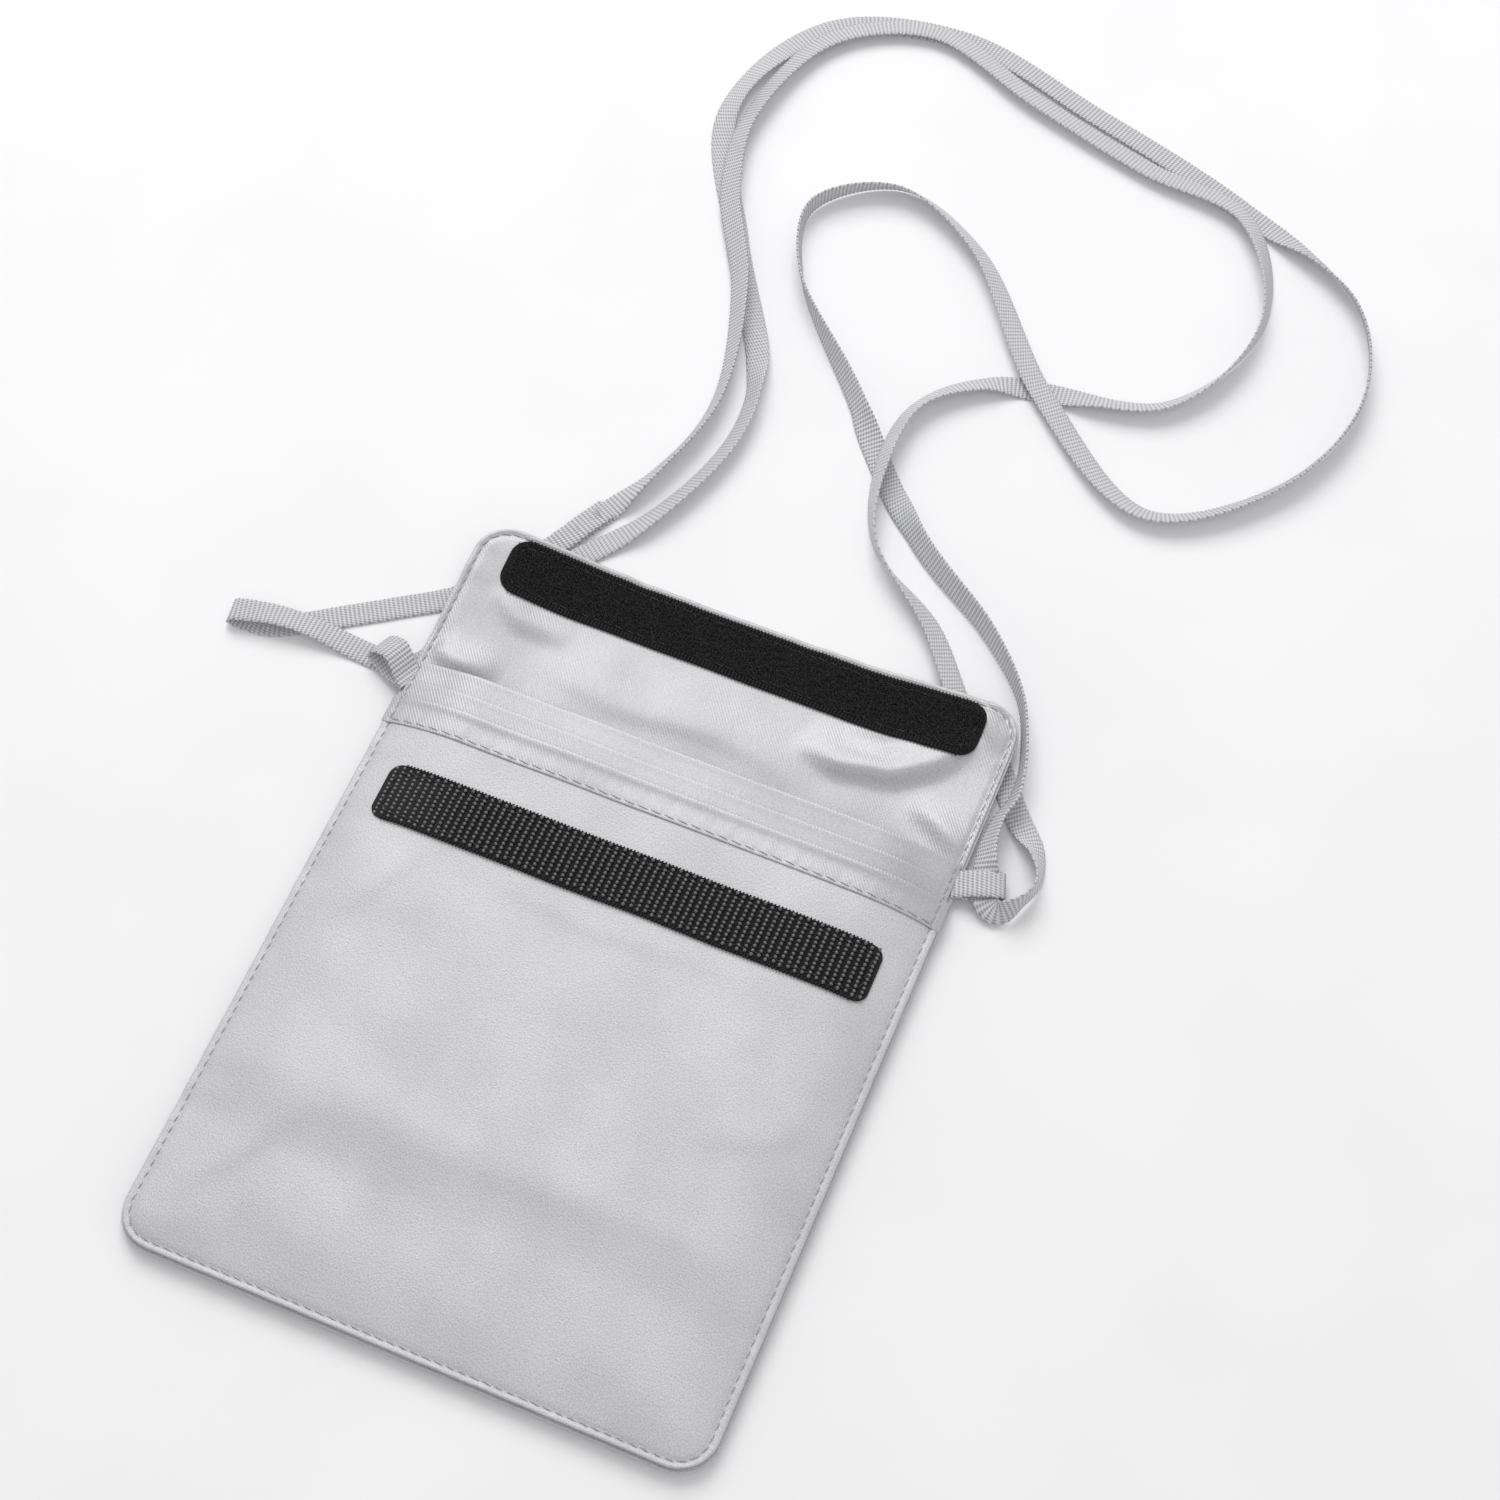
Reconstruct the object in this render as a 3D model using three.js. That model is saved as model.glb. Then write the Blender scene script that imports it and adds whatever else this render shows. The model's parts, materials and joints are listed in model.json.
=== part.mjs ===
// Neck pouch wallet, lying open on its back. Millimetres, +Z up.
// Origin: on the table, under the middle of the pouch seen from above.
// +X runs to the pouch's right, +Y from its bottom seam to the tip of its open flap.
// The flap is one body, hinged on the rest along the fold line above the mouth.
import * as THREE from "three";
import { mergeVertices } from "three/addons/utils/BufferGeometryUtils.js";

// Outline
const WIDTH = 125;            // across the side seams
const HEIGHT = 175;           // bottom seam to flap tip, flap open
const CORNER = 8;             // radius of the four outer corners
const MOUTH = 128;            // height of the front panel's hemmed edge
const HEM = 6.7;              // hem band under the mouth
const FRONT_DIVIDER_TOP = 132.5;
const REAR_DIVIDER_TOP = 137.5;
const FOLD = 136.25;          // fold line of the flap, midway between the two fastener strips
const FOLD_GAP_BACK = 0.5;    // back panel stops this far short of the fold line
const FOLD_GAP_FLAP = 0.9;    // flap starts this far past it

// Plies
const GAP = 0.3;              // air between two plies
const SHELL = 0.5;            // outer fabric
const LINING = 0.35;          // lining and dividers
const FRONT_PLY = 0.6;        // front panel, shell and lining together
const RIM_LIFT = 2;           // height of the side and bottom seams above the table
const RIM_RAMP = 16;          // width over which the back rises to that seam
const FLAP_RAMP = 25;         // the same on the flap
const CORNER_LIFT = 3.6;      // flap corners are held up by the strap that passes under them
const CORNER_RAMP = 44;       // how far that lift reaches, measured along both edges
const BULGE_RAMP = 18.5;      // width over which the front rises from its seam
const FRONT_RIM = RIM_LIFT + SHELL + GAP;
const FRONT_CROWN = 7;        // underside of the front panel over a passport
const LOW_CROWN = 5.8;        // the same near the bottom, where a passport doesn't reach
const CROWN_STEP = [25, 45];  // it rises from one to the other between these heights
const REAR_DIVIDER_DROP = 1.35;   // rear divider's underside, below the front panel's
const FRONT_DIVIDER_DROP = 0.68;
const LINING_INSET = 2.5;
const FLAP_LINING_INSET = 1;
const DIVIDER_INSET = 5;
const HEM_EXTRA = 0.2;        // the folded hem band is this much thicker than the front ply

// Fastener strips
const STRIP_LENGTH = 109.5;
const STRIP_WIDTH = 13;
const STRIP_THICK = 1;
const HOOK_Y = 105.7;
const LOOP_Y = 2 * FOLD - HOOK_Y;
const HOOK_CORNER = 2.5;
const LOOP_CORNER = 4;

// Threads and webbing
const THREAD = 0.5;
const THREAD_LIFT = 0.85;     // middle of a seam's thread above the ply it is sewn to
const STRIP_THREAD_LIFT = 0.6;
const SEAM_INSET = 1.8;       // stitch line inside the edge
const FLAP_SEAM_INSET = 1.05; // the same round the flap, outside the loop strip
const HEM_STITCH = 1;         // the hem's stitches lie this far below the band
const HEM_STITCH_END = 3;     // and stop this far from the side seams
const STRIP_STITCH = 2;       // stitch line inside a fastener strip's edge
const SEAM_STOP = 2;          // seam threads stop this far from the hem and from the fold
const WEB = 6;                // width of the woven ribbon of the strap and the side loops
const WEB_THICK = 0.6;
const STRAP_WIDE = 3.8;       // the strap's solid has the ribbon's cross-section area
const STRAP_THICK = 1;
const LOOP_EXTENT = 9.9;      // how far each side loop stands out from its seam
const LOOP_SLOT = 1.7;        // inside height of a side loop
const LOOP_CENTRE = 134.2;    // side loops' place along the side seams
const RIGHT_LOOP = { level: 2.4, tilt: 19 };   // height of its middle, and degrees towards the flap
const LEFT_LOOP = { level: 2.8, tilt: 26 };

const group = new THREE.Group();
group.position.set(-WIDTH / 2, -HEIGHT / 2, 0);

const fabric = (color, roughness) => new THREE.MeshStandardMaterial({ color, roughness, metalness: 0 });
const shellFabric = fabric(0xc9c9ca, 0.75);
const satin = fabric(0xc4c4c6, 0.45);
const ribbon = fabric(0xb4b4b5, 0.8);
const threadGrey = fabric(0x8d8d8f, 0.7);
const fastenerBlack = fabric(0x111112, 0.8);
const threadBlack = fabric(0x0c0c0d, 0.8);

function add(name, geometry, material) {
  geometry.deleteAttribute("normal");
  geometry.deleteAttribute("uv");
  const closed = mergeVertices(geometry, 1e-4);
  closed.computeVertexNormals();
  const mesh = new THREE.Mesh(closed, material);
  mesh.name = name;
  group.add(mesh);
  return mesh;
}

// Heights of the plies. Positions here run from the pouch's lower left corner.
const side = (x) => Math.max(0, Math.min(x, WIDTH - x));
const ramp = (distance, width) => Math.min(1, distance / width);
const smooth = THREE.MathUtils.smoothstep;
const rim = (x, y) => Math.min(side(x), Math.max(0, y));
const backLevel = (x, y) => RIM_LIFT * (1 - ramp(rim(x, y), RIM_RAMP));
const crown = (y) => LOW_CROWN + (FRONT_CROWN - LOW_CROWN) * smooth(y, ...CROWN_STEP);
const frontLevel = (x, y) => crown(y) - (crown(y) - FRONT_RIM) * (1 - ramp(rim(x, y), BULGE_RAMP)) ** 2;
const flapLevel = (x, y) => {
  const alongSide = RIM_LIFT * (1 - ramp(side(x), FLAP_RAMP));
  const atCorner = CORNER_LIFT * (1 - ramp(side(x) + Math.max(0, HEIGHT - y), CORNER_RAMP));
  return Math.max(alongSide, atCorner);
};
const raised = (level, amount) => (x, y) => level(x, y) + amount;

// How far a rounded corner pulls the side edge in, at a distance from the end edge.
function cornerPull(distance, radius) {
  if (distance >= radius) return 0;
  return radius - Math.sqrt(radius * radius - (radius - distance) ** 2);
}

// Grid lines from low to high, closer together near the pouch's edges at 0 and size,
// where the plies slope and the corners are round.
const EDGE_LINES = [0.3, 1.2, 3, 5, 7, 9, 13.5, 18.5, 25];
const STEP_ROWS = [30, 35, 40, 45];
const WIDE_STEP = [20, 22];   // spacing of the lines between, across and along the pouch
function gridLines(low, high, size, wide) {
  const near = EDGE_LINES.filter((step) => step > low + 0.2 && step < high);
  const far = EDGE_LINES.map((step) => size - step).filter((line) => line < high - 0.2 && line > low);
  const lines = [low, ...near];
  const from = lines[lines.length - 1];
  const to = far.length ? far[far.length - 1] : high;
  const count = Math.max(1, Math.round((to - from) / wide));
  for (let i = 1; i < count; i++) lines.push(from + ((to - from) * i) / count);
  return [...lines, ...far.reverse(), high];
}

// A thin sheet that follows a height function, cut to a rectangle with rounded corners.
// The corner radii are [start, end], in the order of the rows, and extraRows adds grid lines.
function sheet({ x, y, level, thick, radii = [0, 0], extraRows = [] }) {
  const across = gridLines(x[0], x[1], WIDTH, WIDE_STEP[0]);
  const along = [...gridLines(y[0], y[1], HEIGHT, WIDE_STEP[1]), ...extraRows].sort((a, b) => a - b);
  const nx = across.length - 1;
  const ny = along.length - 1;
  const geometry = new THREE.BoxGeometry(nx, ny, 1, nx, ny, 1);
  const position = geometry.attributes.position;
  const middle = (x[0] + x[1]) / 2;
  const half = (x[1] - x[0]) / 2;
  for (let i = 0; i < position.count; i++) {
    const column = Math.round(position.getX(i) + nx / 2);
    const row = Math.round(position.getY(i) + ny / 2);
    const py = along[row];
    const pull = cornerPull(py - y[0], radii[0]) + cornerPull(y[1] - py, radii[1]);
    const px = middle + ((across[column] - middle) * (half - pull)) / half;
    position.setXYZ(i, px, py, level(px, py) + (position.getZ(i) > 0 ? thick : 0));
  }
  return geometry;
}

// A flat section swept along a path with its wide side kept level.
class LevelPath extends THREE.CatmullRomCurve3 {
  computeFrenetFrames(segments) {
    const tangents = [];
    const normals = [];
    const binormals = [];
    for (let i = 0; i <= segments; i++) {
      const tangent = this.getTangentAt(i / segments);
      const sideways = new THREE.Vector3(-tangent.y, tangent.x, 0).normalize();
      tangents.push(tangent);
      binormals.push(sideways);
      normals.push(new THREE.Vector3().crossVectors(sideways, tangent));
    }
    return { tangents, normals, binormals };
  }
}

// Eight-sided flattened section: thickness along x, width along y.
const SECTION_CORNER = 0.6;   // share of the half thickness that its corners cut off
function flatSection(thick, wide) {
  const section = new THREE.Shape();
  const t = thick / 2;
  const w = wide / 2;
  const corner = Math.min(t, w) * SECTION_CORNER;
  section.moveTo(t, -w + corner);
  section.lineTo(t, w - corner);
  section.lineTo(t - corner, w);
  section.lineTo(-t + corner, w);
  section.lineTo(-t, w - corner);
  section.lineTo(-t, -w + corner);
  section.lineTo(-t + corner, -w);
  section.lineTo(t - corner, -w);
  section.closePath();
  return section;
}

function swept(points, steps, thick, wide) {
  const vectors = points.map((p) => new THREE.Vector3(...p));
  const path = new LevelPath(vectors, false, "centripetal");
  return new THREE.ExtrudeGeometry(flatSection(thick, wide), { steps, extrudePath: path });
}

// A thread laid over a sheet: a fine bead that follows the sheet's height.
function bead(outline, level, steps, lift = THREAD_LIFT) {
  const points = outline.map(([x, y]) => [x, y, level(x, y) + lift]);
  return swept(points, steps, THREAD, THREAD);
}

// Back, dividers and front
add("back_panel", sheet({
  x: [0, WIDTH], y: [0, FOLD - FOLD_GAP_BACK], level: backLevel, thick: SHELL,
  radii: [CORNER, 0], extraRows: STEP_ROWS,
}), shellFabric);

add("back_lining", sheet({
  x: [LINING_INSET, WIDTH - LINING_INSET], y: [LINING_INSET, FOLD - FOLD_GAP_BACK],
  level: raised(backLevel, SHELL + GAP), thick: LINING,
  radii: [CORNER - LINING_INSET, 0], extraRows: STEP_ROWS,
}), satin);

const dividers = [
  ["rear_divider", REAR_DIVIDER_TOP, REAR_DIVIDER_DROP],
  ["front_divider", FRONT_DIVIDER_TOP, FRONT_DIVIDER_DROP],
];
for (const [name, top, drop] of dividers) {
  add(name, sheet({
    x: [DIVIDER_INSET, WIDTH - DIVIDER_INSET], y: [DIVIDER_INSET, top],
    level: raised(frontLevel, -drop), thick: LINING,
    radii: [CORNER - DIVIDER_INSET, 0], extraRows: STEP_ROWS,
  }), satin);
}

const hemLine = MOUTH - HEM;
add("front_panel", sheet({
  x: [0, WIDTH], y: [0, hemLine], level: frontLevel, thick: FRONT_PLY,
  radii: [CORNER, 0], extraRows: STEP_ROWS,
}), shellFabric);

add("front_hem_band", sheet({
  x: [0, WIDTH], y: [hemLine + GAP, MOUTH], level: frontLevel, thick: FRONT_PLY + HEM_EXTRA,
}), satin);

// Flap
add("flap_panel", sheet({
  x: [0, WIDTH], y: [FOLD + FOLD_GAP_FLAP, HEIGHT], level: flapLevel, thick: SHELL,
  radii: [0, CORNER],
}), shellFabric);

add("flap_lining", sheet({
  x: [FLAP_LINING_INSET, WIDTH - FLAP_LINING_INSET], y: [FOLD + FOLD_GAP_FLAP, HEIGHT - FLAP_LINING_INSET],
  level: raised(flapLevel, SHELL + GAP), thick: LINING, radii: [0, CORNER - FLAP_LINING_INSET],
}), satin);

// Fastener strips
function strip(centre, level, radius) {
  const low = centre - STRIP_WIDTH / 2;
  const high = centre + STRIP_WIDTH / 2;
  return sheet({
    x: [(WIDTH - STRIP_LENGTH) / 2, (WIDTH + STRIP_LENGTH) / 2], y: [low, high],
    level, thick: STRIP_THICK, radii: [radius, radius],
    extraRows: [low + radius * 0.25, low + radius, high - radius, high - radius * 0.25],
  });
}
const hookLevel = raised(frontLevel, FRONT_PLY + GAP);
const loopLevel = raised(flapLevel, SHELL + GAP + LINING + GAP);
add("hook_strip", strip(HOOK_Y, hookLevel, HOOK_CORNER), fastenerBlack);
add("loop_strip", strip(LOOP_Y, loopLevel, LOOP_CORNER), fastenerBlack);

// Threads
function arc(cx, cy, radius, from, to, count) {
  const points = [];
  for (let i = 0; i <= count; i++) {
    const angle = THREE.MathUtils.degToRad(from + ((to - from) * i) / count);
    points.push([cx + radius * Math.cos(angle), cy + radius * Math.sin(angle)]);
  }
  return points;
}
function line(x0, y0, x1, y1, count) {
  const points = [];
  for (let i = 1; i < count; i++) points.push([x0 + ((x1 - x0) * i) / count, y0 + ((y1 - y0) * i) / count]);
  return points;
}
const left = SEAM_INSET;
const right = WIDTH - SEAM_INSET;
const turn = CORNER - SEAM_INSET;
const seamTop = hemLine - SEAM_STOP;
const seam = [
  [left, seamTop], ...line(left, seamTop, left, CORNER, 4),
  ...arc(CORNER, CORNER, turn, 180, 270, 4), ...line(CORNER, left, WIDTH - CORNER, left, 6),
  ...arc(WIDTH - CORNER, CORNER, turn, 270, 360, 4), ...line(right, CORNER, right, seamTop, 4),
  [right, seamTop],
];
add("seam_thread", bead(seam, raised(frontLevel, FRONT_PLY), 56), threadGrey);

const flapLeft = FLAP_SEAM_INSET;
const flapRight = WIDTH - FLAP_SEAM_INSET;
const flapTurn = CORNER - FLAP_SEAM_INSET;
const flapStart = FOLD + SEAM_STOP;
const flapTop = HEIGHT - FLAP_SEAM_INSET;
const turnStart = HEIGHT - CORNER;
const flapSeam = [
  [flapLeft, flapStart], ...line(flapLeft, flapStart, flapLeft, turnStart, 3),
  ...arc(CORNER, turnStart, flapTurn, 180, 90, 4), ...line(CORNER, flapTop, WIDTH - CORNER, flapTop, 8),
  ...arc(WIDTH - CORNER, turnStart, flapTurn, 90, 0, 4),
  ...line(flapRight, turnStart, flapRight, flapStart, 3), [flapRight, flapStart],
];
const flapInside = raised(flapLevel, SHELL + GAP + LINING);
add("flap_seam_thread", bead(flapSeam, flapInside, 44), threadGrey);

const hemY = hemLine - HEM_STITCH;
const hemEnds = [HEM_STITCH_END, WIDTH - HEM_STITCH_END];
const hemPoints = [[hemEnds[0], hemY], ...line(hemEnds[0], hemY, hemEnds[1], hemY, 12), [hemEnds[1], hemY]];
add("hem_thread", bead(hemPoints, raised(frontLevel, FRONT_PLY), 24), threadGrey);

const stripStart = (WIDTH - STRIP_LENGTH) / 2 + STRIP_STITCH;
const stripEnd = WIDTH - stripStart;
for (const [name, centre, level] of [
  ["hook_strip_thread", HOOK_Y, hookLevel],
  ["loop_strip_thread", LOOP_Y, loopLevel],
]) {
  const low = centre - STRIP_WIDTH / 2 + STRIP_STITCH;
  const high = centre + STRIP_WIDTH / 2 - STRIP_STITCH;
  const points = [
    [stripStart + 4, high], [stripStart + 1, high - 1], [stripStart, centre], [stripStart + 1, low + 1],
    [stripStart + 4, low], ...line(stripStart + 4, low, stripEnd - 4, low, 10), [stripEnd - 4, low],
    [stripEnd - 1, low + 1], [stripEnd, centre], [stripEnd - 1, high - 1], [stripEnd - 4, high],
    ...line(stripEnd - 4, high, stripStart + 10, high, 10), [stripStart + 10, high],
  ];
  add(name, bead(points, raised(level, STRIP_THICK), 44, STRIP_THREAD_LIFT), threadBlack);
}

// A ribbon's side view, made as wide as the ribbon: the view's x runs along the ribbon and its y is up.
function acrossRibbon(view, wide) {
  const geometry = new THREE.ExtrudeGeometry(view, { depth: wide, bevelEnabled: false, curveSegments: 6 });
  geometry.translate(0, 0, -wide / 2);
  geometry.rotateX(Math.PI / 2);
  return geometry;
}
function place(mesh, x, y, z, heading) {
  mesh.position.set(x, y, z);
  mesh.rotation.z = THREE.MathUtils.degToRad(heading);
}

// Side loops: a folded length of ribbon, open from edge to edge for the strap.
function sideLoop(reach) {
  const outer = LOOP_SLOT / 2 + WEB_THICK;
  const view = new THREE.Shape();
  view.moveTo(0, -outer);
  view.lineTo(reach - outer, -outer);
  view.absarc(reach - outer, 0, outer, -Math.PI / 2, Math.PI / 2, false);
  view.lineTo(0, outer);
  view.closePath();
  const slot = new THREE.Path();
  const inner = LOOP_SLOT / 2;
  slot.moveTo(WEB_THICK, -inner);
  slot.lineTo(WEB_THICK, inner);
  slot.lineTo(reach - outer, inner);
  slot.absarc(reach - outer, 0, inner, Math.PI / 2, -Math.PI / 2, true);
  slot.closePath();
  view.holes.push(slot);
  return acrossRibbon(view, WEB);
}
for (const [name, { level, tilt }, seamX, outward] of [
  ["right_side_loop", RIGHT_LOOP, WIDTH, 1],
  ["left_side_loop", LEFT_LOOP, 0, -1],
]) {
  const lean = THREE.MathUtils.degToRad(tilt);
  const start = GAP + (WEB / 2) * Math.tan(lean);
  const reach = (LOOP_EXTENT - start - (WEB / 2) * Math.sin(lean)) / Math.cos(lean);
  const loop = add(name, sideLoop(reach), ribbon);
  place(loop, seamX + outward * start, LOOP_CENTRE, level, outward > 0 ? tilt : 180 - tilt);
}

// Neck strap: one ribbon whose two ends are sewn on each other just past the flap's left corner.
// It is laid out in stretches, each starting where the one before it ends. Far out on the left
// it is folded back under itself.
const STRAP_LOW = 0.65;       // height of the strap's middle where it lies on the table
const FOLD_TOP = 3;           // the same above the fold
const strap = {
  strap_inner_run: {
    steps: 27,
    points: [
      [17.3, 180, 0.65], [28.2, 201.5, 0.65], [33, 223, 0.65], [25.8, 254, 1.9], [13, 279, 1.9],
      [9, 300, 1.9], [18, 330.5, 1.9], [40, 342, 1.9], [70, 331.5, 1.9], [100, 323, 1.9],
      [126, 317.5, 1.9], [138.8, 290, 0.65], [126, 261.7, 0.65], [88.5, 252.5, 0.65], [75, 240, 1.2],
      [73.2, 223, 2.1], [79, 202.8, 0.65], [98, 188, 0.65], [111.5, 172, 0.65], [121, 164.8, 0.65],
    ],
  },
  strap_right_turn: {
    steps: 16,
    points: [
      [121.3, 164.5, 0.65], [131, 152.8, 0.65], [137.3, 146, 0.8], [139.8, 139.5, 1.2], [138.2, 134, 1.7],
      [134.8, 130.6, 2.1], [131.6, 131.6, 2.35], [130.2, 135.6, 2.4], [128.4, 139.5, 2.4], [127.3, 144.5, 2.1],
      [127.3, 149.9, 1.9],
    ],
  },
  strap_outer_run: {
    steps: 42,
    points: [
      [127.3, 150.3, 1.9], [128.6, 155.6, 1.9], [128.2, 161, 1.9], [126.6, 167.4, 1.9], [121.7, 178.5, 1.2],
      [110, 191, 0.65], [88, 206.8, 0.65], [59.8, 237.8, 0.65], [37, 263.3, 0.65], [32.5, 282, 0.65],
      [49.2, 294.5, 0.65], [71.3, 285.6, 0.65], [99.6, 253.5, 1.9], [131, 232.8, 0.65], [156.2, 251, 0.65],
      [166, 279, 0.65], [157, 304, 0.65], [123.3, 321.5, 0.65], [83.5, 334, 0.65], [46, 343.5, 0.65],
      [16, 334, 0.65], [3.2, 302, 0.65], [19.5, 267.5, 0.65], [37.8, 235.7, 0.65], [40.4, 216, 0.65],
      [32, 190.5, 0.65], [20.5, 174.5, 0.65],
    ],
  },
  strap_left_turn: {
    steps: 18,
    points: [
      [20.3, 174.2, 0.65], [13.5, 163.5, 0.65], [8.2, 155, 0.65], [4.6, 147.5, 0.65], [2.4, 141.5, 0.65],
      [-0.8, 137.2, 0.65], [-6, 135.8, 0.65], [-12, 136, 0.65], [-16.5, 136.3, 1], [-21, 136.5, 1.9],
      [-26, 136.4, 2.2], [-33, 135.6, 2.7], [-38.3, 134.4, FOLD_TOP],
    ],
  },
  strap_return: {
    steps: 17,
    points: [
      [-38.2, 133.6, 0.65], [-34, 134, 0.65], [-30.4, 135.3, 0.65], [-26.9, 137.3, 0.65],
      [-20.3, 141.7, 0.65], [-10.3, 148.4, 0.65], [1, 156.4, 0.65], [8.5, 165, 0.65], [14, 174.6, 0.7],
      [17.2, 180, 1.9], [21.8, 189, 1.9],
    ],
  },
};
for (const [name, { points, steps }] of Object.entries(strap)) {
  add(name, swept(points, steps, STRAP_THICK, STRAP_WIDE), ribbon);
}

const END_FOLD = { x: -38.7, y: 134, straight: 1.2, heading: 190 };
function endFold() {
  const middle = (FOLD_TOP - STRAP_LOW) / 2;
  const outer = middle + STRAP_THICK / 2;
  const inner = middle - STRAP_THICK / 2;
  const view = new THREE.Shape();
  view.moveTo(0, -outer);
  view.lineTo(END_FOLD.straight, -outer);
  view.absarc(END_FOLD.straight, 0, outer, -Math.PI / 2, Math.PI / 2, false);
  view.lineTo(0, outer);
  view.lineTo(0, inner);
  view.lineTo(END_FOLD.straight, inner);
  view.absarc(END_FOLD.straight, 0, inner, Math.PI / 2, -Math.PI / 2, true);
  view.lineTo(0, -inner);
  view.closePath();
  return acrossRibbon(view, STRAP_WIDE);
}
const doubled = add("strap_end_fold", endFold(), ribbon);
place(doubled, END_FOLD.x, END_FOLD.y, (FOLD_TOP + STRAP_LOW) / 2, END_FOLD.heading);

// Stitching of the strap's two ends on each other
const SPLICE_LEVEL = 2.95;
const SPLICE = [[18.2, 181.9, SPLICE_LEVEL], [21.4, 188, SPLICE_LEVEL]];
add("splice_thread", swept(SPLICE, 2, THREAD, 2), threadGrey);

export default group;
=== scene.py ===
"""Looks of the neck pouch wallet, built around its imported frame.

Blender works in metres in the row frame. Shapes here are worked out in pouch millimetres:
x from the pouch's left edge, y from its bottom seam, z above the table.
"""

import json
import math
import random

import bmesh
import bpy
import numpy as np
from mathutils import Matrix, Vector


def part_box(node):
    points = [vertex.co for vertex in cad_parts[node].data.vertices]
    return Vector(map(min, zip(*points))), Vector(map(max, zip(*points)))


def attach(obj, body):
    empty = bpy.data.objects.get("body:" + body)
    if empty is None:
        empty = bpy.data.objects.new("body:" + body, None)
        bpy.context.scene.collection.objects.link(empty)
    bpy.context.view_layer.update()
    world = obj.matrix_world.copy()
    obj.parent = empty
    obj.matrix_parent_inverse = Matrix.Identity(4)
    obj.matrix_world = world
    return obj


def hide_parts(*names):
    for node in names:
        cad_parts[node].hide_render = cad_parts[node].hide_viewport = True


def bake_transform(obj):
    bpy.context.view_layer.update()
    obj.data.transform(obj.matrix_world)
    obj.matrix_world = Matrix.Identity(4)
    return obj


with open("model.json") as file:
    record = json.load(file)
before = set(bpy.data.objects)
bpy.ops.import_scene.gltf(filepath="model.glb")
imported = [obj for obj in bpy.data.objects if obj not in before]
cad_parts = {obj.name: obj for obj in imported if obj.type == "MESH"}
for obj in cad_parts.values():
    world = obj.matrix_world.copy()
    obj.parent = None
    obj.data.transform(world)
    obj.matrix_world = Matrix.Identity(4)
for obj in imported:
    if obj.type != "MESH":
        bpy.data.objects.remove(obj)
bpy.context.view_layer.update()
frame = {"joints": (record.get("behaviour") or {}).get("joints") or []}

# ---------------------------------------------------------------- driving dimensions
MM = 0.001
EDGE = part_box("back_panel")[0]
ORIGIN = np.array([EDGE.x, EDGE.y, 0.0])


def place_of(node, end, axis):
    """A CAD node's low (0) or high (1) side along x (0) or y (1), in pouch millimetres."""
    return (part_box(node)[end][axis] - ORIGIN[axis]) / MM


WIDTH = place_of("back_panel", 1, 0)
HEIGHT = place_of("flap_panel", 1, 1)
HEM_LINE = place_of("front_panel", 1, 1)
MOUTH = place_of("front_hem_band", 1, 1)
FRONT_DIVIDER_TOP = place_of("front_divider", 1, 1)
REAR_DIVIDER_TOP = place_of("rear_divider", 1, 1)
FOLD = (frame["joints"][0]["pos_m"][1] - EDGE.y) / MM
CORNER = 8.0

RIM_LIFT = 1.75          # height of the seams above the table
BACK_RAMP = 16.0         # width over which the back rises to them
FLAP_RAMP = 25.0
CORNER_LIFT = 3.6        # the strap passes under the flap's corners
CORNER_RAMP = 44.0
FRONT_RIM = 2.9          # underside of the front panel at its seams
BULGE_RAMP = 18.5        # width over which the front rises from its seams
FRONT_CROWN = 7.0        # underside of the front panel in the middle
LOW_CROWN = 5.5          # the same near the bottom
CROWN_STEP = (27.0, 43.0)
REAR_DROP, FRONT_DROP = 1.35, 0.68           # dividers' undersides below the front panel's
REAR_RIM_DROP, FRONT_RIM_DROP = 0.42, 0.2    # the same in the seams

SHELL = 0.42             # thickness of the outer fabric
LINING = 0.28
DIVIDER = 0.22
TAPE = 0.5               # thickness of the fastener tapes
AIR = 0.06               # between plies that lie on each other

RIPPLE = 0.13            # height of the puckers beside a seam
FLAP_SLACK = 0.16        # height of the flap's long waves
FRONT_SLACK = 0.17       # height of the front panel's
FLOOR_GAP = 0.02         # nothing lies lower than this

SEAM_INSET = 1.8
SEAM_PITCH = 2.5
HEM_PITCH = 3.0
STRIP_PITCH = 2.6
STRIP_INSET = 1.7        # stitch line inside a fastener tape's edge
THREAD = 0.25            # diameter of the sewing thread

RIBBON = 5.4             # width of the strap
WEB = 6.0                # width of the side loops
RIBBON_THICK = 0.6
RIB_PITCH = 0.95
WARP_PITCH = 0.62        # between the ribbon's lengthwise threads
WEAVE_PITCH = 0.55       # between the fastener tapes' threads

CAMERA_PLACE = (0.11783, -0.20824, 0.55239)     # metres
CAMERA_TURN = (21.84, 27.53, 0.92)               # heading, tilt and roll in degrees
LENS, SENSOR = 71.15, 36

LIGHTS = (               # name, place in metres, size in metres, power in watts
    ("key", (-0.45, 0.85, 1.05), 0.9, 11.0),
    ("fill", (0.6, -0.5, 1.2), 1.2, 1.5),
)
SURROUND = 0.55          # strength of the even light


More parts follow.
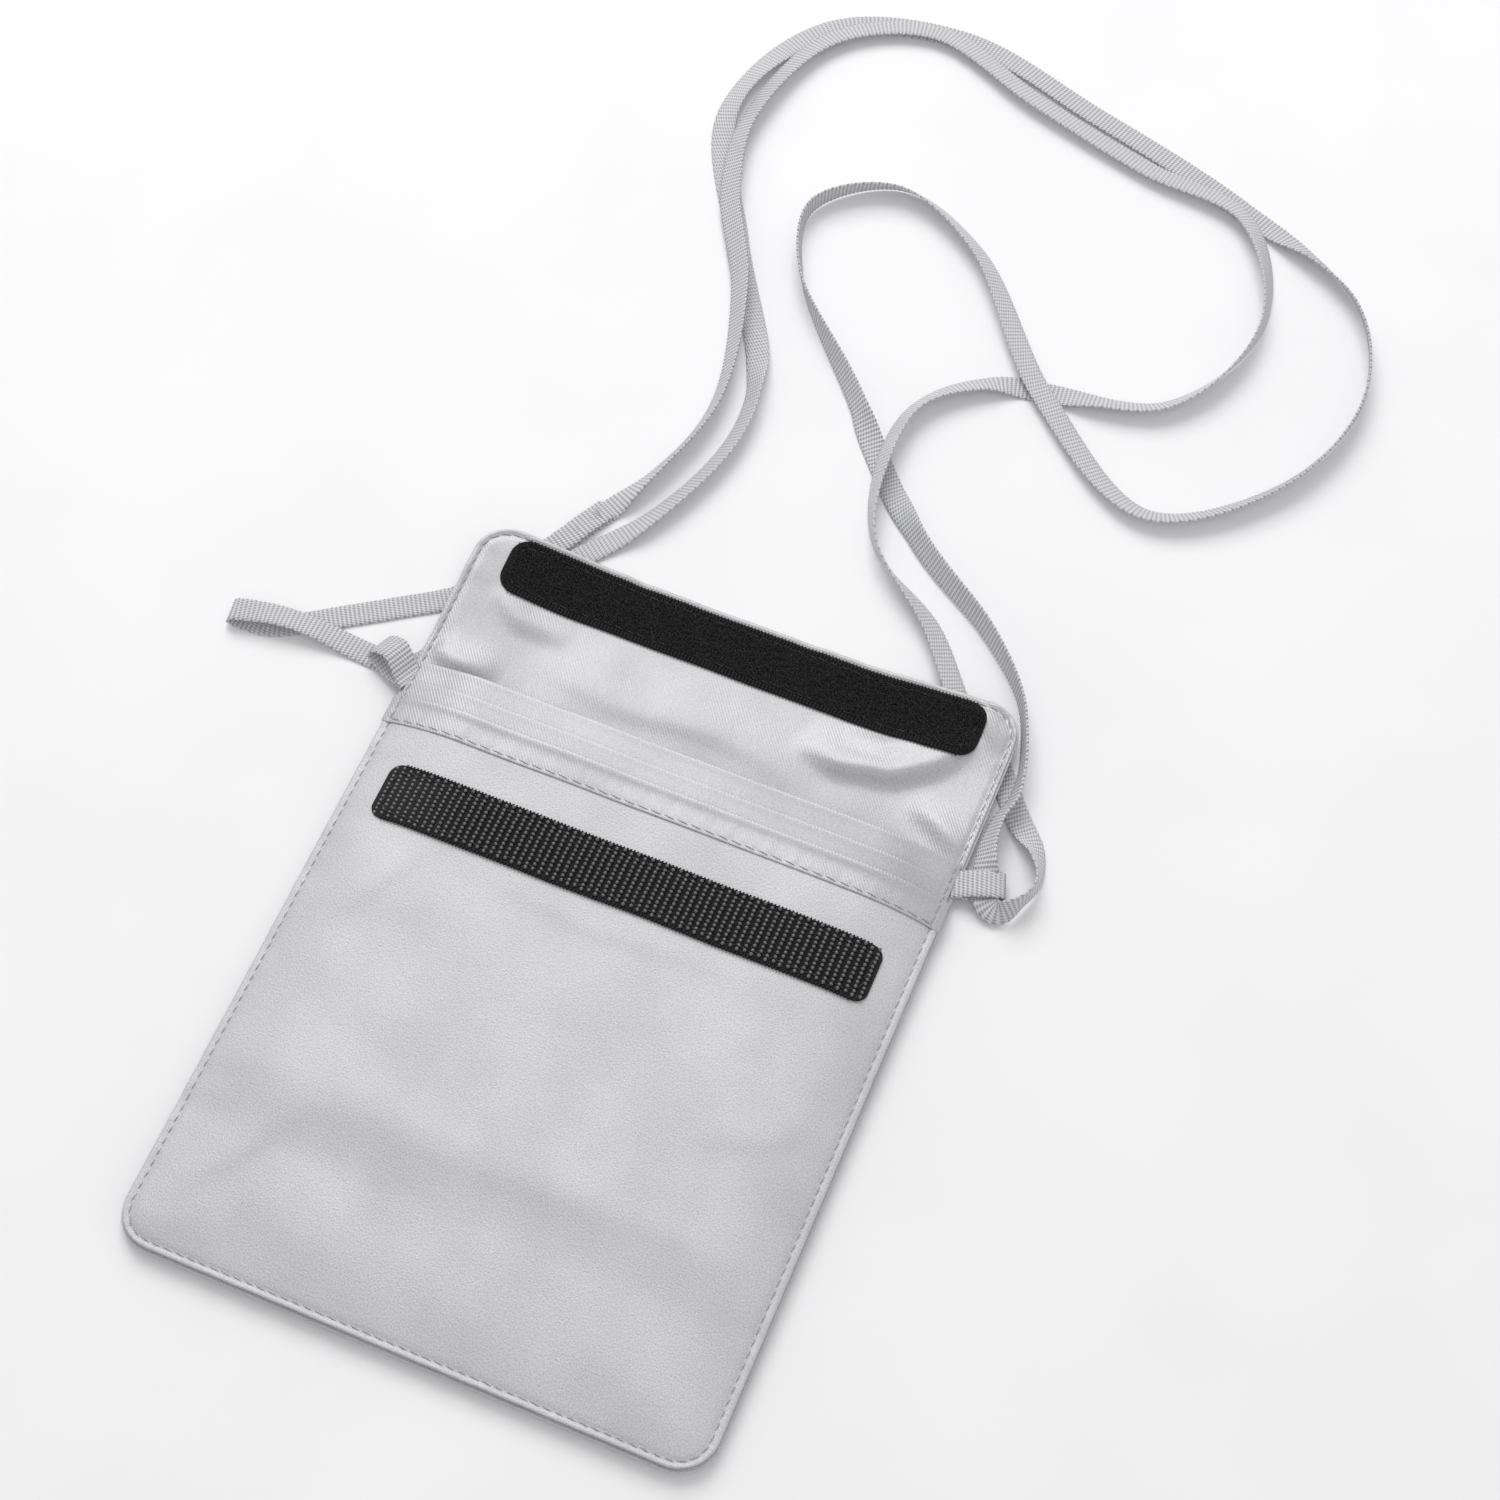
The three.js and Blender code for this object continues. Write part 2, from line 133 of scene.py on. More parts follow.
# ---------------------------------------------------------------- camera
def add_camera():
    """The camera stands in front of the pouch, above it and to the right."""
    camera = bpy.data.objects.new("camera", bpy.data.cameras.new("camera"))
    bpy.context.scene.collection.objects.link(camera)
    heading, tilt, roll = (math.radians(a) for a in CAMERA_TURN)
    turn = Matrix.Rotation(heading, 4, "Z") @ Matrix.Rotation(tilt, 4, "X")
    camera.matrix_world = Matrix.Translation(CAMERA_PLACE) @ turn @ Matrix.Rotation(roll, 4, "Z")
    camera.data.sensor_width = SENSOR
    camera.data.lens = LENS
    bpy.context.scene.camera = camera


add_camera()


# ---------------------------------------------------------------- mesh helpers
def smooth(value, low, high):
    """Rises from 0 to 1 between low and high, level at both."""
    t = np.clip((value - low) / (high - low), 0, 1)
    return t * t * (3 - 2 * t)


def mesh_object(name, points, quads, uv):
    """An object from points in pouch millimetres, quads, and a place on the cloth for each point."""
    mesh = bpy.data.meshes.new(name)
    mesh.from_pydata((np.asarray(points) * MM + ORIGIN).tolist(), [], quads.tolist())
    layer = mesh.uv_layers.new(name="cloth_mm")
    layer.data.foreach_set("uv", np.asarray(uv)[quads.ravel()].astype(np.float32).ravel())
    mesh.shade_smooth()
    piece = bpy.data.objects.new(name, mesh)
    bpy.context.scene.collection.objects.link(piece)
    return piece


def finished(piece, material, nodes=(), body="pouch"):
    """Gives a piece its material in a slot, hides the CAD nodes it stands for, and hangs it on its
    body's empty; a piece of the fold is baked in place instead.
    """
    piece.data.materials.append(material)
    if nodes:
        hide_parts(*nodes)
    if body == "fold":
        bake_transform(piece)
    else:
        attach(piece, body)
    return piece


def grid_lines(low, high, fine, coarse, band):
    """Lines from low to high, closer together near both ends."""
    if high - low < 2 * band + coarse:
        return np.linspace(low, high, 1 + round((high - low) / fine))
    edge = np.arange(0, band, fine)
    count = round((high - low - 2 * band) / coarse)
    middle = np.linspace(low + band, high - band, count + 1)
    return np.concatenate([low + edge, middle, high - edge[::-1]])


ROW_GAP = 0.12


def with_corner_rows(rows, low, high, radii):
    """Adds rows where the corners are round, and drops rows that lie too close together."""
    turn = 1 - np.cos(np.linspace(0, math.pi / 2, 10))
    extra = [low + radii[0] * turn] * (radii[0] > 0) + [high - radii[1] * turn] * (radii[1] > 0)
    rows = np.unique(np.concatenate([rows, *extra]))
    kept = [rows[0]]
    for row in rows[1:-1]:
        if row - kept[-1] > ROW_GAP and rows[-1] - row > ROW_GAP:
            kept.append(row)
    return np.array([*kept, rows[-1]])


def corner_pull(distance, radius):
    """How far a round corner pulls the side edge in, at a distance from the end edge."""
    near = np.clip(radius - distance, 0, radius)
    return radius - np.sqrt(radius * radius - near * near)


def boundary(rows, columns):
    """The numbers of a grid's edge points, once round against the clock."""
    grid = np.arange(rows * columns).reshape(rows, columns)
    return np.concatenate([grid[0, :-1], grid[:-1, -1], grid[-1, :0:-1], grid[:0:-1, 0]])


def ply(name, x, y, under, thick, radii=(0, 0), fine=0.5, coarse=1.4, band=4.0, over=None):
    """A sheet with a rounded rim. Its underside follows under(x, y), and over(x, y) adds to its top."""
    half = thick / 2
    low, high = y[0] + half, y[1] - half
    columns = grid_lines(x[0] + half, x[1] - half, fine, coarse, band)
    rows = with_corner_rows(grid_lines(low, high, fine, coarse, band), low, high, radii)
    pull = corner_pull(rows - low, radii[0]) + corner_pull(high - rows, radii[1])
    middle, reach = (x[0] + x[1]) / 2, (x[1] - x[0]) / 2 - half
    px = middle + (columns[None, :] - middle) * ((reach - pull) / reach)[:, None]
    py = np.repeat(rows[:, None], len(columns), 1)
    bottom = under(px, py)
    top = bottom + thick + (over(px, py) if over else 0)
    count = px.size
    flat = np.stack([px.ravel(), py.ravel()], 1)
    edge = boundary(*px.shape)
    ahead = flat[np.roll(edge, -1)] - flat[np.roll(edge, 1)]
    outward = np.stack([ahead[:, 1], -ahead[:, 0]], 1) / np.linalg.norm(ahead, axis=1)[:, None]
    layers = [np.column_stack([flat, top.ravel()]), np.column_stack([flat, bottom.ravel()])]
    cloth = [flat, flat]
    level, swell = (top.ravel() + bottom.ravel())[edge] / 2, (top - bottom).ravel()[edge] / 2
    for angle in np.radians([45, 90, 135]):
        ring = flat[edge] + outward * (half * math.sin(angle))
        layers.append(np.column_stack([ring, level + swell * math.cos(angle)]))
        cloth.append(flat[edge] + outward * (half * angle))
    grid = np.arange(count).reshape(px.shape)
    face = np.stack([grid[:-1, :-1], grid[:-1, 1:], grid[1:, 1:], grid[1:, :-1]], -1).reshape(-1, 4)
    around = [2 * count + i * len(edge) + np.arange(len(edge)) for i in range(3)]
    rings = [edge, *around, count + edge]
    faces = [face, count + face[:, ::-1]]
    for upper, lower in zip(rings, rings[1:]):
        faces.append(np.stack([lower, np.roll(lower, -1), np.roll(upper, -1), upper], 1))
    return mesh_object(name, np.concatenate(layers), np.concatenate(faces), np.concatenate(cloth))


def tubes(name, lines, across, radii, sides=6):
    """Many short tubes as one object.

    lines is tubes × points × 3, and across is one level direction for each tube.
    """
    count, steps, _ = lines.shape
    tangent = np.gradient(lines, axis=1)
    tangent /= np.linalg.norm(tangent, axis=2)[..., None]
    across = np.broadcast_to(across[:, None, :], lines.shape)
    other = np.cross(tangent, across)
    radii = np.broadcast_to(radii, (count, steps))[..., None, None]
    angle = np.arange(sides) * 2 * math.pi / sides
    cosine, sine = np.cos(angle)[None, None, :, None], np.sin(angle)[None, None, :, None]
    ring = cosine * across[:, :, None] + sine * other[:, :, None]
    points = lines[:, :, None] + radii * ring
    number = np.arange(count * steps * sides).reshape(count, steps, sides)
    nxt = np.roll(number, -1, axis=2)
    wall = np.stack([number[:, :-1], nxt[:, :-1], nxt[:, 1:], number[:, 1:]], -1).reshape(-1, 4)
    faces = [wall]
    for first in range(1, sides - 2, 2):
        corners = [0, first, first + 1, first + 2]
        faces.append(number[:, 0][:, corners[::-1]])
        faces.append(number[:, -1][:, corners])
    steps_along = np.linalg.norm(np.diff(lines, axis=1), axis=2)
    run = np.concatenate([np.zeros((count, 1)), np.cumsum(steps_along, 1)], 1)
    uv = np.stack([
        np.repeat(run[..., None], sides, 2),
        np.broadcast_to(angle * float(np.mean(radii)), (count, steps, sides)),
    ], -1)
    return mesh_object(name, points.reshape(-1, 3), np.concatenate(faces), uv.reshape(-1, 2))


# ---------------------------------------------------------------- how the cloth lies
def side(x):
    """Distance inside the nearer side edge."""
    return np.clip(np.minimum(x, WIDTH - x), 0.01, None)


def rim(x, y):
    """Distance inside the seam that runs up both sides and round the bottom."""
    y = np.clip(y, 0.01, None)
    into = CORNER - side(x), CORNER - y
    outer = np.hypot(np.clip(into[0], 0, None), np.clip(into[1], 0, None))
    near = CORNER - outer - np.minimum(np.maximum(*into), 0)
    deep = (side(x) ** -3 + y ** -3) ** (-1 / 3)
    return near + (deep - near) * smooth(near, 2, 10)


def waves(x, y, seed, length, count=9):
    """Soft unevenness between about -1 and 1, made of plane waves of about one length."""
    draw = random.Random(seed)
    total = 0
    for _ in range(count):
        heading = draw.uniform(0, math.tau)
        size = math.tau / (length * draw.uniform(0.7, 1.5))
        along = x * math.cos(heading) + y * math.sin(heading)
        total = total + np.sin(size * along + draw.uniform(0, math.tau))
    return total / math.sqrt(count)


def puckers(x, y, seed):
    """Short ripples that the seam draws in the cloth beside it."""
    along_sides = waves(0 * x, y, seed, 6, 5) * np.exp(-side(x) / 4)
    along_bottom = waves(x, 0 * y, seed + 1, 6, 5) * np.exp(-np.abs(y) / 4)
    along_top = waves(x, 0 * y, seed + 2, 7, 5) * np.exp(-np.abs(HEIGHT - y) / 4)
    return along_sides + along_bottom + along_top


def fold_ridge(x, y, route, height, steep, gentle):
    """A crease along a route: steep on its right, gentle on its left, and fading at both ends."""
    route = np.array(route, float)
    best = np.full(np.shape(x), 1e9)
    signed, share = np.zeros_like(best), np.zeros_like(best)
    lengths = np.linalg.norm(np.diff(route, axis=0), axis=1)
    start = 0.0
    for a, b, length in zip(route, route[1:], lengths):
        d = (b - a) / length
        t = np.clip((x - a[0]) * d[0] + (y - a[1]) * d[1], 0, length)
        gap = np.hypot(x - a[0] - t * d[0], y - a[1] - t * d[1])
        left = np.sign(d[0] * (y - a[1]) - d[1] * (x - a[0]))
        nearer = gap < best
        best = np.where(nearer, gap, best)
        signed = np.where(nearer, gap * left, signed)
        share = np.where(nearer, (start + t) / lengths.sum(), share)
        start += length
    reach = np.where(signed > 0, gentle, steep)
    return height * np.sin(math.pi * share) ** 0.8 * np.exp(-((signed / reach) ** 2))


FLAP_CREASES = [
    ([(82, 151.5), (92, 149.5), (103, 151.5), (111, 157), (117, 166)], 2.4, 1.7, 6.5),
    ([(90, 157), (99, 157), (107, 160.5)], 0.8, 1.2, 3),
    ([(109, 147), (116, 144), (123, 139.5)], 1.1, 1.3, 3),
    ([(2, 142), (8, 139.6), (17, 140.5)], 1.5, 1.3, 4),
    ([(22, 148), (42, 144.5), (66, 146.5), (90, 143)], 0.5, 2.4, 7),
    ([(8, 160), (16, 155), (28, 155)], 0.9, 1.8, 5),
    ([(110, 172), (117, 170), (122, 164)], 1.0, 1.3, 2.5),
]
FRONT_CREASES = [
    ([(4, 9), (15, 22), (27, 40)], 0.45, 2.5, 6),
    ([(20, 38), (60, 39), (106, 41), (121, 38)], 0.3, 3, 10),
    ([(96, 60), (112, 66), (122, 78)], 0.35, 2.5, 5),
    ([(6, 70), (16, 84), (22, 98)], 0.35, 2.2, 5),
    ([(30, 96), (62, 93.5), (98, 96)], 0.25, 2.2, 5),
]


def backing(x, y):
    """Underside of the outer fabric, which runs from the bottom seam to the flap's tip."""
    back = RIM_LIFT * (1 - smooth(rim(x, y), 0, BACK_RAMP))
    edge = RIM_LIFT * (1 - smooth(side(x), 0, FLAP_RAMP))
    corner = CORNER_LIFT * (1 - smooth(side(x) + np.abs(HEIGHT - y), 0, CORNER_RAMP))
    flap = (edge ** 4 + corner ** 4) ** 0.25
    level = back + (flap - back) * smooth(y, FOLD - 10, FOLD + 12)
    on_flap = smooth(y, FOLD - 4, FOLD + 6)
    lifted = sum(fold_ridge(x, y, *crease) for crease in FLAP_CREASES) * on_flap
    ripple = RIPPLE * puckers(x, y, 3) + on_flap * FLAP_SLACK * (1 + waves(x, y, 5, 24))
    return np.maximum(level + lifted + ripple, FLOOR_GAP)


def front(x, y):
    """Underside of the front panel."""
    crown = LOW_CROWN + (FRONT_CROWN - LOW_CROWN) * smooth(y, *CROWN_STEP)
    distance = rim(x, y)
    level = crown - (crown - FRONT_RIM) * (1 - np.clip(distance / BULGE_RAMP, 0, 1)) ** 2
    inner = smooth(distance, 1, 14)
    lifted = sum(fold_ridge(x, y, *crease) for crease in FRONT_CREASES) * inner
    ripple = RIPPLE * puckers(x, y, 3) * (y < HEIGHT) + inner * FRONT_SLACK * waves(x, y, 8, 30)
    return level + lifted + ripple


def drop(x, y, at_rim, inside):
    """How far a divider lies below the front panel, in the seam and away from it."""
    return at_rim + (inside - at_rim) * smooth(rim(x, y), 0, 9)


def rear_divider(x, y):
    return front(x, y) - drop(x, y, REAR_RIM_DROP, REAR_DROP)


def front_divider(x, y):
    return front(x, y) - drop(x, y, FRONT_RIM_DROP, FRONT_DROP)


def resampled(route, pitch):
    """Points about a pitch apart along a route."""
    route = np.array(route, float)
    run = np.concatenate([[0], np.cumsum(np.linalg.norm(np.diff(route, axis=0), axis=1))])
    places = np.linspace(0, run[-1], 1 + round(run[-1] / pitch))
    return np.column_stack([np.interp(places, run, route[:, i]) for i in range(route.shape[1])])


def arc(cx, cy, radius, start, end):
    angle = np.radians(np.linspace(start, end, 12))
    return list(zip(cx + radius * np.cos(angle), cy + radius * np.sin(angle)))


def seam_route(inset, top):
    """Down the left side, round the bottom and up the right side."""
    turn = CORNER - inset
    return [
        (inset, top), *arc(CORNER, CORNER, turn, 180, 270),
        *arc(WIDTH - CORNER, CORNER, turn, 270, 360), (WIDTH - inset, top),
    ]


def flap_route(inset, low):
    """Up the left side, round the flap's tip and down the right side."""
    turn, centre = CORNER - inset, HEIGHT - CORNER
    return [
        (inset, low), *arc(CORNER, centre, turn, 180, 90),
        *arc(WIDTH - CORNER, centre, turn, 90, 0), (WIDTH - inset, low),
    ]


def strip_route(node, inset, radius):
    """Once round a fastener strip, inside its edge."""
    x0, x1 = place_of(node, 0, 0) + inset, place_of(node, 1, 0) - inset
    y0, y1 = place_of(node, 0, 1) + inset, place_of(node, 1, 1) - inset
    return [
        (x0 + radius + 6, y1), *arc(x0 + radius, y1 - radius, radius, 90, 180),
        *arc(x0 + radius, y0 + radius, radius, 180, 270),
        *arc(x1 - radius, y0 + radius, radius, 270, 360),
        *arc(x1 - radius, y1 - radius, radius, 0, 90), (x0 + radius + 6, y1),
    ]


SIDE_TOP = REAR_DIVIDER_TOP - 0.6
SEAM = resampled(seam_route(SEAM_INSET, SIDE_TOP), SEAM_PITCH)
FLAP_SEAM = resampled(flap_route(SEAM_INSET - 0.3, SIDE_TOP + 0.9), SEAM_PITCH)
HEM_STITCH_Y = HEM_LINE + 0.7
HEM_SEAM = resampled([(1.6, HEM_STITCH_Y), (WIDTH - 1.6, HEM_STITCH_Y)], HEM_PITCH)
HOOK_SEAM = resampled(strip_route("hook_strip", STRIP_INSET, 2.0), STRIP_PITCH)
LOOP_SEAM = resampled(strip_route("loop_strip", STRIP_INSET, 3.0), STRIP_PITCH)


def dimples(x, y, holes, depth=0.2, size=0.75):
    """Dents that the thread pulls into the cloth at each stitch hole."""
    total = np.zeros(np.shape(x))
    for hx, hy in holes:
        total += np.exp(-((x - hx) ** 2 + (y - hy) ** 2) / size ** 2)
    return -depth * total


def rolled_edge(distance, height=0.26):
    """The turned edge outside a seam, and the groove that the seam makes."""
    roll = height * np.exp(-(((distance - 0.75) / 0.6) ** 2))
    return roll - 0.16 * np.exp(-(((distance - SEAM_INSET) / 0.5) ** 2))


def flap_rim(x, y):
    """Distance inside the flap's edge."""
    return rim(x, HEIGHT - y)


def front_over(x, y):
    return rolled_edge(rim(x, y)) + dimples(x, y, SEAM)


def lining_over(x, y):
    on_flap = smooth(y, REAR_DIVIDER_TOP - 1, REAR_DIVIDER_TOP + 2)
    return (rolled_edge(flap_rim(x, y), 0.2) + dimples(x, y, FLAP_SEAM, 0.15)) * on_flap


BAND_LOW = HEM_LINE - 0.1
PANEL_TOP = MOUTH - 1.2  # the panel ends inside the band's fold
BAND = 0.34              # thickness of the band


def band_under(x, y):
    """The hem band lies on the front panel, and its top edge is folded over the panel's."""
    return front(x, y) + SHELL + 0.03


def band_over(x, y):
    fold = 0.16 * np.exp(-(((MOUTH - 0.8 - y) / 0.9) ** 2))
    sag = -0.12 * np.exp(-(((y - HEM_LINE - 3.9) / 2.4) ** 2)) * (1 + 0.3 * waves(x, y, 21, 17))
    gathers = 0.025 * waves(x, 0.35 * y, 22, 3.4) * smooth(MOUTH - y, 0.4, 3)
    return fold + sag + gathers + dimples(x, y, HEM_SEAM, 0.1, 0.7) + 0.6 * dimples(x, y, SEAM)


def stack_top(x, y):
    """Top of whichever ply shows at a point inside the outline."""
    levels = [
        front(x, y) + SHELL + front_over(x, y),
        band_under(x, y) + BAND + band_over(x, y),
        front_divider(x, y) + DIVIDER,
        rear_divider(x, y) + DIVIDER,
    ]
    tests = [y < BAND_LOW, y < MOUTH, y < FRONT_DIVIDER_TOP, y < REAR_DIVIDER_TOP]
    return np.select(tests, levels, backing(x, y) + SHELL + AIR + LINING + lining_over(x, y))


def tape_under(x, y):
    return front(x, y) + SHELL + AIR


def loop_tape_under(x, y):
    return backing(x, y) + SHELL + AIR + LINING + AIR


# ---------------------------------------------------------------- materials
class Finish:
    """One procedural material, built up on its Principled shader."""

    def __init__(self, name, **sockets):
        self.material = bpy.data.materials.new(name)
        self.material.use_nodes = True
        self.nodes = self.material.node_tree.nodes
        self.links = self.material.node_tree.links
        self.shader = self.nodes["Principled BSDF"]
        for socket, value in sockets.items():
            self.shader.inputs[socket.replace("_", " ")].default_value = value
        self.place = self.node("ShaderNodeUVMap", {}, uv_map="cloth_mm").outputs[0]

    def node(self, kind, inputs, **settings):
        made = self.nodes.new(kind)
        for key, value in settings.items():
            setattr(made, key, value)
        for key, value in inputs.items():
            if isinstance(value, bpy.types.NodeSocket):
                self.links.new(value, made.inputs[key])
            else:
                made.inputs[key].default_value = value
        return made

    def math(self, operation, a, b=0.0):
        return self.node("ShaderNodeMath", {0: a, 1: b}, operation=operation).outputs[0]

    def noise(self, scale, detail=2.0, place=None):
        inputs = {"Vector": place or self.place, "Scale": scale, "Detail": detail}
        return self.node("ShaderNodeTexNoise", inputs).outputs[0]

    def cells(self, scale, place=None):
        inputs = {"Vector": place or self.place, "Scale": scale}
        return self.node("ShaderNodeTexVoronoi", inputs).outputs[0]

    def stretched(self, x, y):
        inputs = {"Vector": self.place, "Scale": (x, y, 1.0)}
        return self.node("ShaderNodeMapping", inputs).outputs[0]

    def wave(self, per_x, per_y):
        """A sine across the cloth, with this many turns a millimetre along x and y."""
        split = self.node("ShaderNodeSeparateXYZ", {0: self.place})
        phase = self.math("ADD", self.math("MULTIPLY", split.outputs[0], per_x * math.tau),
                          self.math("MULTIPLY", split.outputs[1], per_y * math.tau))
        return self.math("SINE", phase)

    def ramp(self, fac, *stops):
        made = self.node("ShaderNodeValToRGB", {0: fac})
        elements = made.color_ramp.elements
        while len(elements) < len(stops):
            elements.new(0.5)
        for element, (position, colour) in zip(elements, stops):
            element.position = position
            element.color = (*colour, 1)
        return made.outputs[0]

    def colour(self, socket):
        self.links.new(socket, self.shader.inputs["Base Color"])

    def multiply(self, a, b):
        mix = self.node("ShaderNodeMix", {"Factor": 1.0}, data_type="RGBA", blend_type="MULTIPLY")
        self.links.new(a, mix.inputs[6])
        self.links.new(b, mix.inputs[7])
        return mix.outputs[2]

    def rough(self, fac, low, high):
        made = self.node("ShaderNodeMapRange", {0: fac, 3: low, 4: high})
        self.links.new(made.outputs[0], self.shader.inputs["Roughness"])

    def bump(self, height, depth):
        """Bump of a depth in millimetres."""
        inputs = {"Height": height, "Distance": depth * MM, "Strength": 1.0}
        if self.shader.inputs["Normal"].is_linked:
            inputs["Normal"] = self.shader.inputs["Normal"].links[0].from_socket
        made = self.node("ShaderNodeBump", inputs)
        self.links.new(made.outputs[0], self.shader.inputs["Normal"])


COOLNESS = 1.012         # the greys are this much stronger in blue


def grey(value):
    return value, value, value * COOLNESS


def crepe():
    """Silver grey outer fabric with an irregular crinkled grain."""
    f = Finish("crepe", Metallic=0.18, Sheen_Weight=0.2, Sheen_Roughness=0.5)
    grain = f.noise(3.4, 3.0, f.stretched(1.0, 0.8))
    crinkle = f.cells(1.5, f.stretched(1.0, 1.35))
    patches = f.noise(0.06, 2.0)
    base = f.ramp(grain, (0.3, grey(0.5)), (0.5, grey(0.63)), (0.72, grey(0.74)))
    tone = f.ramp(patches, (0.3, grey(0.9)), (0.7, grey(1.0)))
    f.colour(f.multiply(base, tone))
    f.rough(grain, 0.42, 0.6)
    f.bump(grain, 0.1)
    f.bump(crinkle, 0.03)
    return f.material


def satin():
    """Smooth lining: a fine diagonal twill with a soft shine."""
    f = Finish("satin", Metallic=0.22, Sheen_Weight=0.1, Sheen_Roughness=0.4)
    twill = f.wave(1.35, 1.0)
    threads = f.noise(2.6, 2.0, f.stretched(0.5, 1.6))
    patches = f.noise(0.08, 2.0)
    height = f.math("ADD", f.math("MULTIPLY", twill, 0.5), threads)
    base = f.ramp(threads, (0.3, grey(0.46)), (0.7, grey(0.6)))
    tone = f.ramp(patches, (0.3, grey(0.9)), (0.7, grey(1.0)))
    f.colour(f.multiply(base, tone))
    f.rough(threads, 0.36, 0.46)
    f.bump(height, 0.03)
    return f.material


def ribbon_weave():
    """Cross-ribbed ribbon: the ribs are in the mesh, and the warp threads that cross them are here."""
    f = Finish("ribbon_weave", Sheen_Weight=0.15, Specular_IOR_Level=0.4)
    rib = f.wave(1 / RIB_PITCH, 0.0)
    warp = f.wave(0.5 / RIB_PITCH, 1 / WARP_PITCH)
    dots = f.math("ADD", f.math("MULTIPLY", warp, 0.3), f.math("MULTIPLY", rib, 0.35))
    height = f.math("ADD", dots, 0.5)
    fibres = f.noise(5.0, 2.0, f.stretched(0.6, 1.8))
    # The colour follows the relief: darker in the grooves between the ribs and warp threads, which is
    # painted shade, and lighter on their crests, which is painted light.
    base = f.ramp(height, (0.1, grey(0.4)), (0.5, grey(0.66)), (0.9, grey(0.8)))
    tone = f.ramp(fibres, (0.3, grey(0.82)), (0.7, grey(1.0)))
    f.colour(f.multiply(base, tone))
    f.rough(fibres, 0.6, 0.8)
    f.bump(height, 0.12)
    return f.material


def twisted_thread(name, dark, light):
    """Sewing thread with the twist of its strands."""
    f = Finish(name, Roughness=0.6, Sheen_Weight=0.15)
    twist = f.math("MULTIPLY", f.math("ADD", f.wave(1.6, 2.2), 1.0), 0.5)
    # The colour follows the twist's relief: darker in the grooves between the strands, which is painted
    # shade, and lighter on the strands, which is painted light.
    f.colour(f.ramp(twist, (0.1, dark), (0.8, light)))
    f.bump(twist, 0.05)
    return f.material


def black_weave(name, low, high, roughness):
    """Black fastener tape: a tight plain weave."""
    f = Finish(name, Specular_IOR_Level=0.35)
    weave = f.math("MULTIPLY", f.wave(1 / WEAVE_PITCH, 0.0), f.wave(0.0, 1 / WEAVE_PITCH))
    specks = f.noise(3.5, 3.0)
    f.colour(f.ramp(specks, (0.45, grey(low)), (0.72, grey(high))))
    f.rough(specks, roughness - 0.1, roughness + 0.1)
    f.bump(weave, 0.12)
    return f.material


def monofilament():
    """Stiff black nylon hooks that glint."""
    f = Finish("monofilament", Specular_IOR_Level=0.8)
    streak = f.noise(1.2, 2.0)
    f.colour(f.ramp(streak, (0.35, grey(0.07)), (0.7, grey(0.25))))
    f.rough(streak, 0.3, 0.5)
    f.bump(streak, 0.02)
    return f.material


def pile_fibre():
    """Matt black loops of the soft strip, a little lighter in a few random specks."""
    f = Finish("pile_fibre", Sheen_Weight=0.2, Specular_IOR_Level=0.25)
    speck_noise = f.noise(0.9, 3.0)
    # The noise makes a few random specks a little lighter than the black.
    f.colour(f.ramp(speck_noise, (0.55, grey(0.006)), (0.8, grey(0.035))))
    f.rough(speck_noise, 0.75, 0.95)
    f.bump(speck_noise, 0.02)
    return f.material


CREPE = crepe()
SATIN = satin()
RIBBON_WEAVE = ribbon_weave()
GREY_THREAD = twisted_thread("grey_thread", grey(0.25), grey(0.52))
BLACK_THREAD = twisted_thread("black_thread", grey(0.008), grey(0.03))
HOOK_TAPE = black_weave("hook_weave", 0.008, 0.05, 0.6)
LOOP_TAPE = black_weave("loop_weave", 0.006, 0.025, 0.85)
MONOFILAMENT = monofilament()
PILE = pile_fibre()


# ---------------------------------------------------------------- strap
# Route of the strap's middle, as in the CAD source but lower where it enters the right loop, with the
# ribbon's roll in degrees: 0 lies flat, and 90 stands on its edge.
INNER_RUN = [
    (17.3, 180, 0.65, 0), (28.2, 201.5, 0.65, -55), (33, 223, 0.65, -60), (25.8, 254, 1.9, -45),
    (13, 279, 1.9, -30), (9, 300, 1.9, -40), (18, 330.5, 1.9, -20), (40, 342, 1.9, -15),
    (70, 331.5, 1.9, -20), (100, 323, 1.9, -15), (126, 317.5, 1.9, -30), (138.8, 290, 0.65, -80),
    (126, 261.7, 0.65, -135), (88.5, 252.5, 0.65, -150), (75, 240, 1.2, -130), (73.2, 223, 2.1, -125),
    (79, 202.8, 0.65, -90), (98, 188, 0.65, -35), (111.5, 172, 0.65, -20), (121, 164.8, 0.65, 0),
]
RIGHT_TURN = [
    (131, 152.8, 0.65, -20), (137.3, 146, 0.8, -50), (139.8, 139.5, 1.2, -80), (138.2, 134, 1.7, -85),
    (134.8, 130.6, 1.4, -42), (131.6, 131.6, 2.35, -8), (130.2, 135.6, 2.4, 0), (128.4, 139.5, 2.4, -35),
    (127.3, 144.5, 2.1, -50),
]
